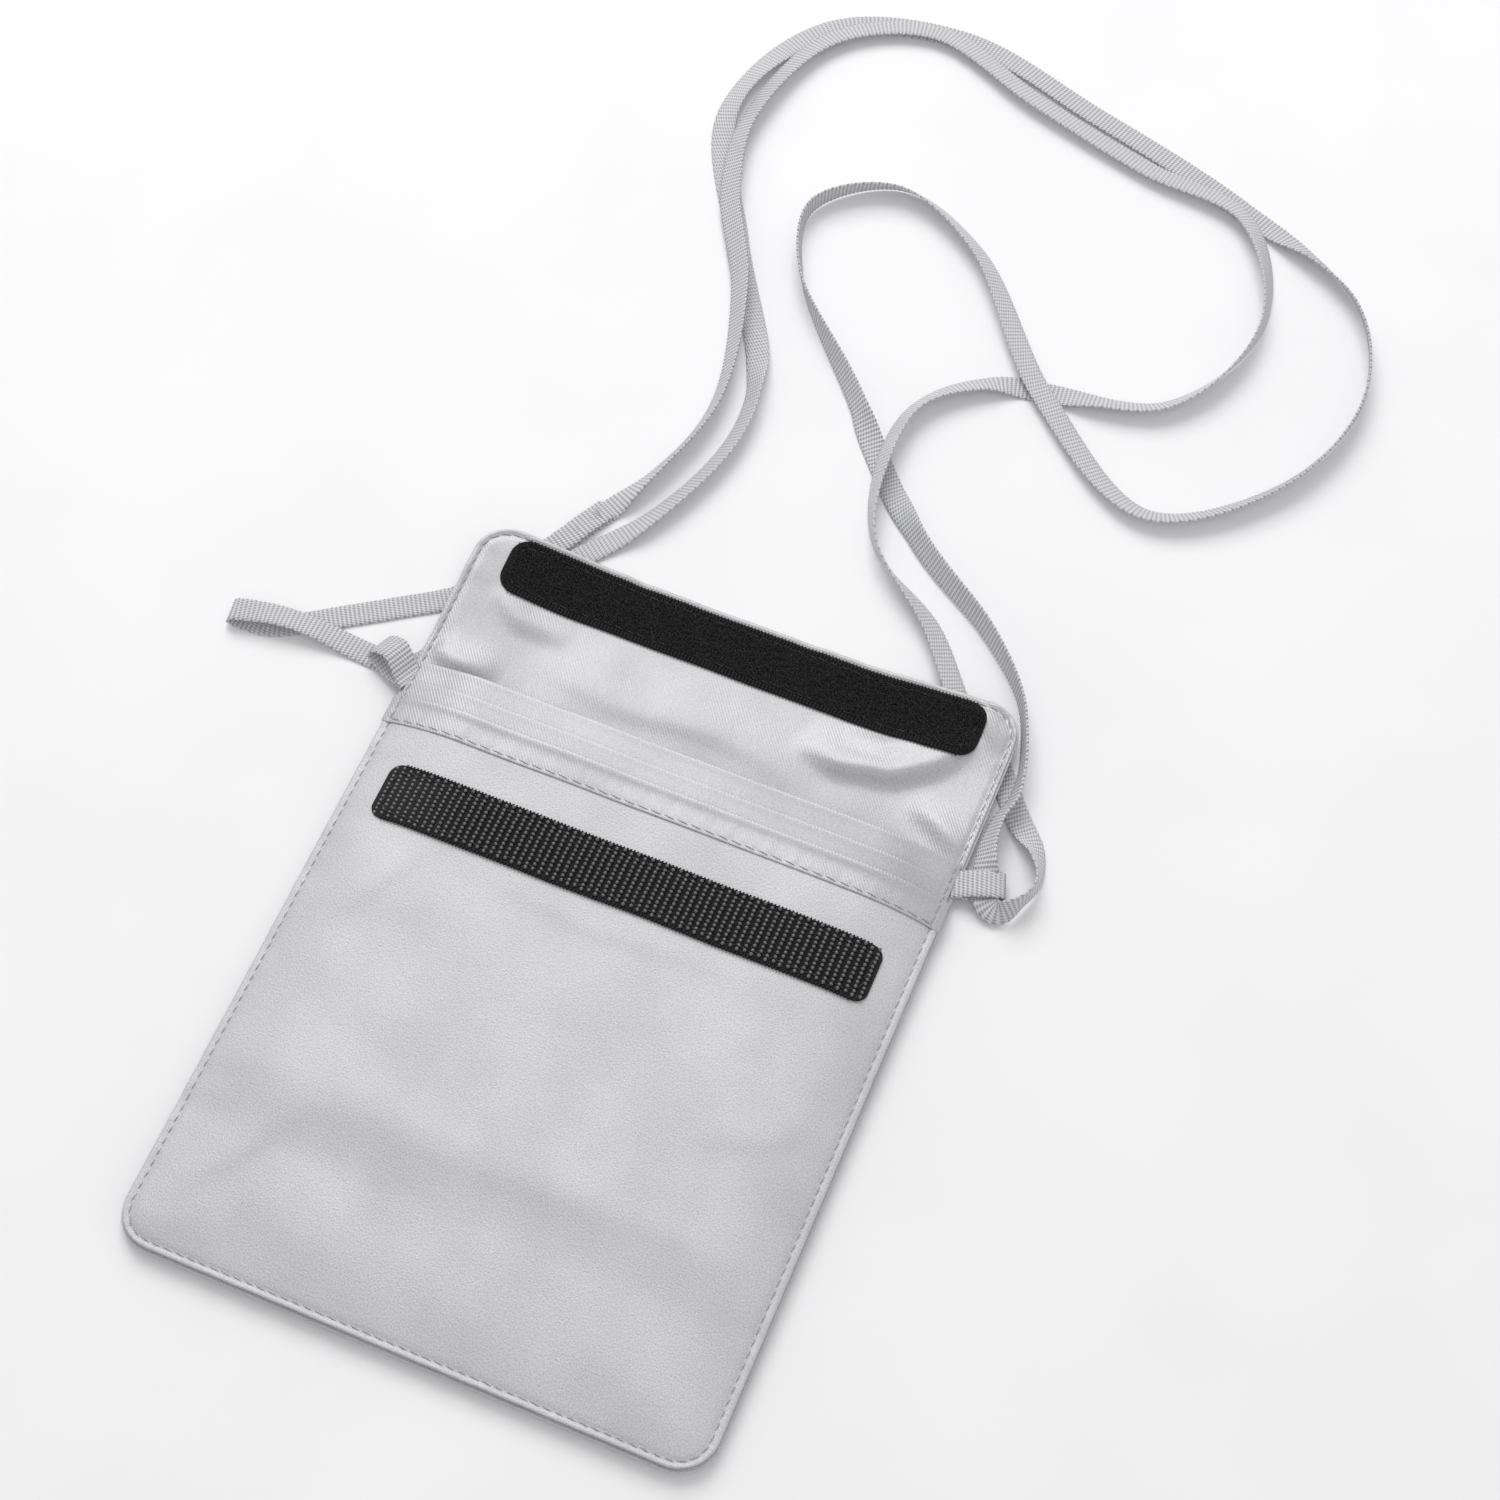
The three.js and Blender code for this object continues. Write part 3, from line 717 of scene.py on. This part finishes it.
OUTER_RUN = [
    (127.3, 150.3, 1.9, -60), (128.6, 155.6, 1.9, -65), (128.2, 161, 1.9, -75), (126.6, 167.4, 1.9, -80),
    (121.7, 178.5, 1.2, -83), (110, 191, 0.65, -70), (88, 206.8, 0.65, -53), (59.8, 237.8, 0.65, -57),
    (37, 263.3, 0.65, -100), (32.5, 282, 0.65, -90), (49.2, 294.5, 0.65, -60), (71.3, 285.6, 0.65, -45),
    (99.6, 253.5, 1.9, -10), (131, 232.8, 0.65, -35), (156.2, 251, 0.65, -60), (166, 279, 0.65, -90),
    (157, 304, 0.65, -110), (123.3, 321.5, 0.65, -160), (83.5, 334, 0.65, -165), (46, 343.5, 0.65, -150),
    (16, 334, 0.65, -135), (3.2, 302, 0.65, -115), (19.5, 267.5, 0.65, -135), (37.8, 235.7, 0.65, -130),
    (40.4, 216, 0.65, -135), (32, 190.5, 0.65, -145), (20.5, 174.5, 0.65, -180),
]
LEFT_TURN = [
    (13.5, 163.5, 0.65, -180), (8.2, 155, 0.65, -180), (4.6, 147.5, 0.65, -180),
    (2.4, 141.5, 0.65, -180),
    (-0.8, 137.2, 0.65, -180), (-6, 135.8, 0.65, -180), (-12, 136, 0.65, -180), (-16.5, 136.3, 1, -175),
    (-21, 136.5, 1.9, -170), (-26, 136.4, 2.2, -168), (-33, 135.6, 2.7, -172), (-38.3, 134.4, 3, -180),
]
END_FOLD = [
    (-40.2, 133.9, 2.95, -180), (-41.5, 133.65, 2.45, -180), (-41.9, 133.6, 1.8, -180),
    (-41.5, 133.6, 1.15, -180), (-40.2, 133.6, 0.7, -180),
]
RETURN_RUN = [
    (-38.2, 133.6, 0.65, -180), (-34, 134, 0.65, -180), (-30.4, 135.3, 0.65, -180),
    (-26.9, 137.3, 0.65, -180), (-20.3, 141.7, 0.65, -180), (-10.3, 148.4, 0.65, -180),
    (1, 156.4, 0.65, -180), (8.5, 165, 0.65, -180),
    (14, 174.6, 0.7, -180), (17.2, 180, 1.9, -180), (21.8, 189, 1.9, -180),
]
STRAP = [*INNER_RUN, *RIGHT_TURN, *OUTER_RUN, *LEFT_TURN, *END_FOLD, *RETURN_RUN]
RINGS_A_RIB = 4

SOLID_LEVELS = (0.65, 1.9, 2.4, 3)        # heights in the route, which suit the thicker CAD solid
RIBBON_LEVELS = (0.36, 1.12, 2.4, 3)      # where the ribbon's middle lies instead
CROSSING_STRIDE = 16                      # every so many rings are looked at for crossings
CROSSING_APART = 8                        # and only against others at least this many strides away
CROSSING_LIFT = 0.5                       # that lie this much higher
CROSSING_EASE = (3.0, 11.0)               # flat within the first distance, and free beyond the second
ROLL_WINDOW = 25                          # rings over which the roll is averaged
HEIGHT_WINDOW = 15

def spline(points, step):
    """Places along a centripetal Catmull-Rom curve, a step apart, and each one's control number."""
    points = np.array(points, float)
    padded = np.concatenate([[2 * points[0] - points[1]], points, [2 * points[-1] - points[-2]]])
    found, numbers = [], []
    for i in range(len(points) - 1):
        p0, p1, p2, p3 = padded[i:i + 4]
        legs = ((p0, p1), (p1, p2), (p2, p3))
        t = np.cumsum([0, *(np.linalg.norm(b[:3] - a[:3]) ** 0.5 for a, b in legs)])
        u = np.linspace(t[1], t[2], 60, endpoint=False)[:, None]
        a1 = ((t[1] - u) * p0 + (u - t[0]) * p1) / (t[1] - t[0])
        a2 = ((t[2] - u) * p1 + (u - t[1]) * p2) / (t[2] - t[1])
        a3 = ((t[3] - u) * p2 + (u - t[2]) * p3) / (t[3] - t[2])
        b1 = ((t[2] - u) * a1 + (u - t[0]) * a2) / (t[2] - t[0])
        b2 = ((t[3] - u) * a2 + (u - t[1]) * a3) / (t[3] - t[1])
        found.append(((t[2] - u) * b1 + (u - t[1]) * b2) / (t[2] - t[1]))
        numbers.append(i + (u[:, 0] - t[1]) / (t[2] - t[1]))
    found = np.concatenate([*found, points[-1:]])
    numbers = np.concatenate([*numbers, [len(points) - 1]])
    run = np.concatenate([[0], np.cumsum(np.linalg.norm(np.diff(found[:, :3], axis=0), axis=1))])
    places = np.arange(0, run[-1], step)
    sampled = np.column_stack([np.interp(places, run, found[:, i]) for i in range(found.shape[1])])
    return sampled, np.interp(places, run, numbers)


def settled(route):
    """Height of the ribbon's middle: it rests on its lower edge."""
    level = np.interp(route[:, 2], SOLID_LEVELS, RIBBON_LEVELS)
    return level + RIBBON / 2 * np.abs(np.sin(route[:, 3]))


def flatter_at_crossings(route):
    """The ribbon lies flat where it passes under itself."""
    coarse = route[::CROSSING_STRIDE]
    ease = np.ones(len(coarse))
    for i, point in enumerate(coarse):
        gap = np.hypot(*(coarse[:, :2] - point[:2]).T)
        apart = np.abs(np.arange(len(coarse)) - i) > CROSSING_APART
        above = apart & (coarse[:, 2] - point[2] > CROSSING_LIFT)
        ease[i] = smooth(np.min(np.where(above, gap, 99)), *CROSSING_EASE)
    ease = np.interp(np.arange(len(route)), np.arange(len(coarse)) * CROSSING_STRIDE, ease)
    flat = 180 * np.round(route[:, 3] / 180)
    return flat + (route[:, 3] - flat) * ease


def averaged(values, width):
    """Running average over a bell-shaped window."""
    kernel = np.hanning(width)
    half = width // 2
    padded = np.concatenate([np.repeat(values[:1], half), values, np.repeat(values[-1:], half)])
    return np.convolve(padded, kernel / kernel.sum(), "same")[half:-half]


def strap_rings():
    """Centres, width directions and control numbers of the strap's cross-sections."""
    route, numbers = spline(STRAP, RIB_PITCH / RINGS_A_RIB)
    route[:, 3] = averaged(np.radians(flatter_at_crossings(route)), ROLL_WINDOW)
    centres = route[:, :3].copy()
    height = settled(route)
    centres[:, 2] = np.maximum(averaged(height, HEIGHT_WINDOW), height)
    ahead = np.gradient(centres, axis=0)
    ahead /= np.linalg.norm(ahead, axis=1)[:, None]
    level = level_across(ahead)
    up = np.cross(ahead, level)
    roll = route[:, 3][:, None]
    return centres, level * np.cos(roll) + up * np.sin(roll), numbers


def level_across(ahead):
    """A level direction across the path at each point, carried on where the path runs straight down."""
    level = np.stack([-ahead[:, 1], ahead[:, 0], np.zeros(len(ahead))], 1)
    size = np.linalg.norm(level, axis=1)
    good = np.flatnonzero(size > 0.6)
    kept = level[good] / size[good][:, None]
    turned = np.sum(kept[1:] * kept[:-1], 1) < 0
    kept[1:] *= np.where(np.cumsum(turned) % 2, -1, 1)[:, None]
    level = np.column_stack([np.interp(np.arange(len(ahead)), good, kept[:, i]) for i in range(3)])
    return level / np.linalg.norm(level, axis=1)[:, None]


def ribbon(name, centres, widths, wide, start=0):
    """A woven ribbon through ring centres, with its cross ribs and scalloped edges in the mesh."""
    ahead = np.gradient(centres, axis=0)
    face = np.cross(ahead, widths)
    face /= np.linalg.norm(face, axis=1)[:, None]
    across = np.array([-0.92, -0.55, -0.2, 0.2, 0.55, 0.92, 1, 0.92, 0.55, 0.2, -0.2, -0.55, -0.92, -1])
    above = np.array([1.0] * 6 + [0] + [-1] * 6 + [0])
    number = start + np.arange(len(centres))
    rib = np.cos(number * math.tau / RINGS_A_RIB)
    scallop = 1 + 0.035 * rib
    thick = RIBBON_THICK / 2 * (0.86 + 0.14 * rib)
    points = (centres[:, None]
              + widths[:, None] * (across[None, :] * (wide / 2 * scallop)[:, None])[..., None]
              + face[:, None] * (above[None, :] * thick[:, None])[..., None])
    sides = len(across)
    grid = np.arange(len(centres) * sides).reshape(-1, sides)
    nxt = np.roll(grid, -1, axis=1)
    wall = np.stack([grid[:-1], grid[1:], nxt[1:], nxt[:-1]], -1).reshape(-1, 4)
    ends = np.array([[0, 1, 11, 12], [1, 2, 10, 11], [2, 3, 9, 10], [3, 4, 8, 9], [4, 5, 7, 8]])
    faces = np.concatenate([wall, grid[0][ends], grid[-1][ends[:, ::-1]]])
    uv = np.stack([
        np.repeat((number * RIB_PITCH / RINGS_A_RIB)[:, None], sides, 1),
        np.repeat((across * wide / 2)[None], len(centres), 0),
    ], -1)
    piece = mesh_object(name, points.reshape(-1, 3), faces, uv.reshape(-1, 2))
    tips = [(grid[0], (12, 13, 0), (5, 6, 7)), (grid[-1], (0, 13, 12), (7, 6, 5))]
    close_tips(piece, tips)
    return piece


def close_tips(piece, tips):
    """Adds the triangles at the two rounded edges of a ribbon's cut ends."""
    work = bmesh.new()
    work.from_mesh(piece.data)
    work.verts.ensure_lookup_table()
    for ring, *corners in tips:
        for three in corners:
            work.faces.new([work.verts[ring[i]] for i in three])
    bmesh.ops.recalc_face_normals(work, faces=work.faces)
    work.to_mesh(piece.data)
    work.free()
    piece.data.shade_smooth()


def strap():
    """The strap is one ribbon, cut inside the right loop and under the flap's left corner."""
    centres, widths, numbers = strap_rings()
    in_right_loop = len(INNER_RUN) + 6
    under_flap = len(INNER_RUN) + len(RIGHT_TURN) + len(OUTER_RUN) - 1
    inner = [int(np.searchsorted(numbers, n)) for n in (in_right_loop, under_flap)]
    cuts = [0, *inner, len(centres) - 1]
    parts = []
    nodes = [("strap_inner_run", "strap_right_turn"), ("strap_outer_run",),
             ("strap_left_turn", "strap_end_fold", "strap_return")]
    names = ["strap_first_third", "strap_middle_third", "strap_last_third"]
    for name, stood_for, first, last in zip(names, nodes, cuts, cuts[1:]):
        part = slice(first, last + 1)
        piece = ribbon(name, centres[part], widths[part], RIBBON, first)
        finished(piece, RIBBON_WEAVE, stood_for)
        line = centres[part] * MM + ORIGIN
        length = float(np.linalg.norm(np.diff(line, axis=0), axis=1).sum())
        parts.append((piece, line, length))
    return parts


strap_parts = strap()


# ---------------------------------------------------------------- stitches
def stitches(name, holes, surface, thread=THREAD, up=1, lean=0.14):
    """A row of stitches: each thread rises from one hole, lies on the cloth and dives into the next."""
    a, b = holes[:-1], holes[1:]
    ahead = b - a
    length = np.linalg.norm(ahead, axis=1)[:, None]
    square = np.stack([-ahead[:, 1], ahead[:, 0]], 1) / length
    t = np.linspace(0, 1, 8)
    share = 0.09 + 0.82 * t
    aside = (lean * (1 - 2 * t))[None, :, None]
    flat = a[:, None] + ahead[:, None] * share[None, :, None] + square[:, None] * aside
    rise = thread * (0.52 * np.sin(math.pi * t) ** 0.6 - 0.22)
    level = np.maximum(surface(flat[..., 0], flat[..., 1]) + up * rise, thread / 2 + FLOOR_GAP)
    lines = np.concatenate([flat, level[..., None]], 2)
    radii = thread / 2 * (0.78 + 0.22 * np.sin(math.pi * t))
    return tubes(name, lines, np.column_stack([square, np.zeros(len(square))]), radii)


def seam_stitches():
    finished(stitches("seam_stitches", SEAM, stack_top), GREY_THREAD, ["seam_thread"])
    back = stitches("back_seam_stitches", SEAM, backing, up=-1)
    finished(back, GREY_THREAD)
    flap = stitches("flap_stitches", FLAP_SEAM, stack_top)
    finished(flap, GREY_THREAD, ["flap_seam_thread"], "fold")
    outside = stitches("flap_outer_stitches", FLAP_SEAM, backing, up=-1)
    finished(outside, GREY_THREAD, (), "fold")
    hem = stitches("hem_stitches", HEM_SEAM, stack_top)
    finished(hem, GREY_THREAD, ["hem_thread"])


# ---------------------------------------------------------------- plies
def plies():
    full_x, full_y = (0, WIDTH), (0, HEIGHT)
    shell = ply("pouch_shell", full_x, full_y, backing, SHELL, (CORNER, CORNER))
    finished(shell, CREPE, ["back_panel", "flap_panel"], "fold")

    inset = 0.45

    def lining_under(x, y):
        return backing(x, y) + SHELL + AIR

    lining = ply("pouch_lining", (inset, WIDTH - inset), (inset + 0.3, HEIGHT - inset), lining_under,
                 LINING, (CORNER - 1, CORNER - inset), over=lining_over)
    finished(lining, SATIN, ["back_lining", "flap_lining"], "fold")

    for name, node, level, top in (
        ("rear_divider_cloth", "rear_divider", rear_divider, REAR_DIVIDER_TOP),
        ("front_divider_cloth", "front_divider", front_divider, FRONT_DIVIDER_TOP),
    ):
        def turned_edge(x, y, top=top):
            return 0.05 * np.exp(-(((top - 0.6 - y) / 0.7) ** 2))
        divider = ply(name, (0.9, WIDTH - 0.9), (1.2, top), level, DIVIDER, (CORNER - 1, 0),
                      coarse=2.0, over=turned_edge)
        finished(divider, SATIN, [node])

    panel = ply("front_panel_cloth", (0.25, WIDTH - 0.25), (0.5, PANEL_TOP), front, SHELL, (CORNER, 0),
                coarse=1.2, over=front_over)
    finished(panel, CREPE, ["front_panel"])

    band = ply("hem_band", (-0.1, WIDTH + 0.1), (BAND_LOW, MOUTH), band_under, BAND,
               coarse=0.8, fine=0.4, over=band_over)
    finished(band, SATIN, ["front_hem_band"])


# ---------------------------------------------------------------- fastener strips
def strip_box(node):
    return [(place_of(node, 0, axis), place_of(node, 1, axis)) for axis in (0, 1)]


def selvedge(name, node, surface, pitch, length, radius):
    """Ribs of thread across both long edges of a tape."""
    (x0, x1), (y0, y1) = strip_box(node)
    places = np.arange(x0 + 3.2, x1 - 3.0, pitch)
    t = np.linspace(0, 1, 6)
    lines = []
    for edge, inward in ((y0, 1), (y1, -1)):
        y = edge + inward * (-0.12 + length * t)
        px, py = np.broadcast_arrays(places[:, None], y[None, :])
        level = surface(px, py) + radius * (1.5 * np.sin(math.pi * t) ** 0.5 - 0.9)
        lines.append(np.stack([px, py, level], 2))
    lines = np.concatenate(lines)
    across = np.tile([1.0, 0.0, 0.0], (len(lines), 1))
    return tubes(name, lines, across, radius * (0.7 + 0.3 * np.sin(math.pi * t)))


HOOK_ROWS = 1.55
HOOK_PITCH = 1.0
HOOK_THICK = 0.78        # one visible bead is a bundle of hooks
HOOK_HEIGHT = 0.6
HOOK_SINK = 0.3          # the lowest ones are sunk this far into the tape
LOW_HOOKS = 0.25         # share of their height that hooks have at the tape's left end
HOOK_RISE = (5, 24)      # they come to their full height between these distances from it


def hooks(surface):
    """Rows of stiff arched filaments: lower at the tape's left end, and pressed down by its stitches."""
    (x0, x1), (y0, y1) = strip_box("hook_strip")
    draw = random.Random(11)
    t = np.linspace(0, 1, 7)
    lines = []
    for row, x in enumerate(np.arange(x0 + 1.3, x1 - 0.9, HOOK_ROWS)):
        lift = LOW_HOOKS + (1 - LOW_HOOKS) * float(smooth(x, x0 + HOOK_RISE[0], x0 + HOOK_RISE[1]))
        for y in np.arange(y0 + 0.9 + 0.35 * (row % 2), y1 - 0.7, HOOK_PITCH):
            sewn = min(abs(y - y0 - STRIP_INSET), abs(y1 - STRIP_INSET - y))
            size = draw.uniform(0.85, 1.1) * (0.45 + 0.55 * float(smooth(sewn, 0.2, 0.7)))
            turn = 1 if row % 2 else -1
            angle = math.pi * (0.04 + 0.9 * t)
            py = y - turn * 0.13 * np.cos(angle)
            rise = HOOK_HEIGHT * lift * size * np.sin(angle) ** 0.8 - HOOK_SINK * (1 - lift)
            px = x + draw.uniform(-0.07, 0.07) + 0.05 * np.sin(angle)
            lines.append(np.stack([px, py, rise], 1))
    lines = np.array(lines)
    lines[..., 2] += surface(lines[..., 0], lines[..., 1])
    across = np.tile([1.0, 0.0, 0.0], (len(lines), 1))
    return tubes("hook_filaments", lines, across, HOOK_THICK / 2 * (0.7 + 0.3 * np.sin(math.pi * t)))


PILE_LOOPS = 4200
PILE_REACH = (0.3, 0.75)     # half the span of a loop
PILE_HEIGHT = (0.35, 0.8)
PILE_THICK = 0.14
LOOP_RIBS = 0.78             # pitch of the ribs along the loop tape's edges
RIB_THREAD = 0.24            # radius of those ribs on both tapes


def pile(surface):
    """Short curled loops of fibre scattered over the soft strip."""
    (x0, x1), (y0, y1) = strip_box("loop_strip")
    draw = np.random.default_rng(12)
    x = draw.uniform(x0 + 1.0, x1 - 1.0, PILE_LOOPS)
    y = draw.uniform(y0 + 1.5, y1 - 1.5, PILE_LOOPS)
    heading = draw.uniform(0, math.tau, PILE_LOOPS)
    reach = draw.uniform(*PILE_REACH, PILE_LOOPS)
    height = draw.uniform(*PILE_HEIGHT, PILE_LOOPS)
    angle = math.pi * np.linspace(0.03, 0.97, 5)
    out = -np.cos(angle)[None] * reach[:, None]
    px = x[:, None] + out * np.cos(heading)[:, None]
    py = y[:, None] + out * np.sin(heading)[:, None]
    pz = surface(px, py) - 0.05 + height[:, None] * np.sin(angle)[None]
    across = np.stack([-np.sin(heading), np.cos(heading), np.zeros(PILE_LOOPS)], 1)
    return tubes("loop_pile", np.stack([px, py, pz], 2), across, PILE_THICK / 2, sides=4)


def strips():
    x, y = strip_box("hook_strip")

    def hook_top(px, py):
        return tape_under(px, py) + TAPE

    tape = ply("hook_tape", x, y, tape_under, TAPE, (2.5, 2.5), fine=0.6, coarse=1.2, band=3,
               over=lambda px, py: dimples(px, py, HOOK_SEAM, 0.18))
    finished(tape, HOOK_TAPE, ["hook_strip"])
    finished(hooks(hook_top), MONOFILAMENT)
    ribs = selvedge("hook_selvedge", "hook_strip", hook_top, HOOK_ROWS / 2, 0.8, RIB_THREAD)
    finished(ribs, HOOK_TAPE)
    sewn = stitches("hook_stitches", HOOK_SEAM, hook_top, THREAD * 1.3)
    finished(sewn, BLACK_THREAD, ["hook_strip_thread"])

    x, y = strip_box("loop_strip")

    def loop_top(px, py):
        return loop_tape_under(px, py) + TAPE

    tape = ply("loop_tape", x, y, loop_tape_under, TAPE, (4, 4), fine=0.6, coarse=1.2, band=3,
               over=lambda px, py: dimples(px, py, LOOP_SEAM, 0.18))
    finished(tape, LOOP_TAPE, ["loop_strip"], "flap")
    finished(pile(loop_top), PILE, (), "flap")
    ribs = selvedge("loop_selvedge", "loop_strip", loop_top, LOOP_RIBS, 1.6, RIB_THREAD)
    finished(ribs, HOOK_TAPE, (), "flap")
    sewn = stitches("loop_stitches", LOOP_SEAM, loop_top, THREAD * 1.3)
    finished(sewn, BLACK_THREAD, ["loop_strip_thread"], "flap")


# ---------------------------------------------------------------- side loops
LOOP_SEAM_Y = 133.2      # where the side loops leave the seams
RIGHT_LOOP = {"heading": 19, "reach": 9.6, "arch": 0.2}
LEFT_LOOP = {"heading": 180 - 26, "reach": 9.8, "arch": 1.7, "skew": 0.45}


def side_loop(name, node, seam_x, heading, reach, arch, skew=0.0):
    """A folded length of ribbon, held in the side seam and open for the strap.

    Its upper ply arches. For each millimetre of height, that ply lies skew millimetres to one side.
    """
    box_low, box_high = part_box(node)
    level = (box_low.z + box_high.z) / 2 / MM
    profile = [
        (-1.4, 0.16), (0.6, 0.35), (2.6, 1.0 + 0.4 * arch), (5.2, 1.2 + arch), (7.6, 1.15 + 0.6 * arch),
        (reach - 0.3, 0.8), (reach, 0), (reach - 0.3, -0.8), (7.6, -1.15), (5.0, -1.15), (2.4, -0.95),
        (0.6, -0.35), (-1.4, -0.16),
    ]
    rings, _ = spline([(px, 0, pz) for px, pz in profile], RIB_PITCH / RINGS_A_RIB)
    angle = math.radians(heading)
    centres = np.stack([
        seam_x + rings[:, 0] * math.cos(angle),
        LOOP_SEAM_Y + rings[:, 0] * math.sin(angle),
        level + rings[:, 2],
    ], 1)
    to_tip = 1 if heading < 90 else -1
    widths = np.tile([-math.sin(angle) * to_tip, abs(math.cos(angle)), 0.0], (len(centres), 1))
    centres += widths * (rings[:, 2] * skew)[:, None]
    finished(ribbon(name, centres, widths, WEB), RIBBON_WEAVE, [node])


def side_loops():
    side_loop("right_loop", "right_side_loop", WIDTH - 0.2, **RIGHT_LOOP)
    side_loop("left_loop", "left_side_loop", 0.3, **LEFT_LOOP)


# ---------------------------------------------------------------- splice
SPLICE_PITCH = 0.62
SPLICE_HALF = 2.0        # the zigzag reaches this far to each side
SPLICE_HOLES = 12


def splice():
    """Zigzag stitching that holds the strap's two ends on each other."""
    end = np.array(STRAP[-1][:2])
    start = np.array(STRAP[-2][:2])
    ahead = (end - start) / np.linalg.norm(end - start)
    square = np.array([-ahead[1], ahead[0]])
    holes = [
        start + ahead * (1.2 + SPLICE_PITCH * i) + square * (SPLICE_HALF if i % 2 else -SPLICE_HALF)
        for i in range(SPLICE_HOLES)
    ]
    level = RIBBON_LEVELS[1] + RIBBON_THICK / 2

    def ribbon_top(x, y):
        return np.full(np.shape(x), level)

    piece = stitches("splice_stitches", np.array(holes), ribbon_top, THREAD * 1.1, lean=0)
    return finished(piece, GREY_THREAD, ["splice_thread"])


plies()
strips()
seam_stitches()
side_loops()
splice_piece = splice()


# ---------------------------------------------------------------- floor and light
def studio():
    """A pale floor, a soft light from beyond the flap, and an even surround."""
    floor = ply("floor", (-1400, 1500), (-1400, 1600), lambda x, y: 0 * x - 1.0, 0.98,
                fine=100, coarse=400, band=400)
    f = Finish("floor", Roughness=0.9, Specular_IOR_Level=0.1)
    f.colour(f.ramp(f.noise(0.02, 2.0), (0.3, grey(0.93)), (0.7, grey(0.96))))
    floor.data.materials.append(f.material)
    world = bpy.data.worlds.new("surround")
    world.use_nodes = True
    world.node_tree.nodes["Background"].inputs[0].default_value = (1, 1, 1, 1)
    world.node_tree.nodes["Background"].inputs[1].default_value = SURROUND
    bpy.context.scene.world = world
    for name, place, size, power in LIGHTS:
        light = bpy.data.objects.new(name, bpy.data.lights.new(name, "AREA"))
        light.data.size = size
        light.data.energy = power
        light.location = place
        light.rotation_euler = (-light.location).to_track_quat("-Z", "Y").to_euler()
        bpy.context.scene.collection.objects.link(light)
    bpy.context.scene.view_settings.view_transform = "Standard"


studio()
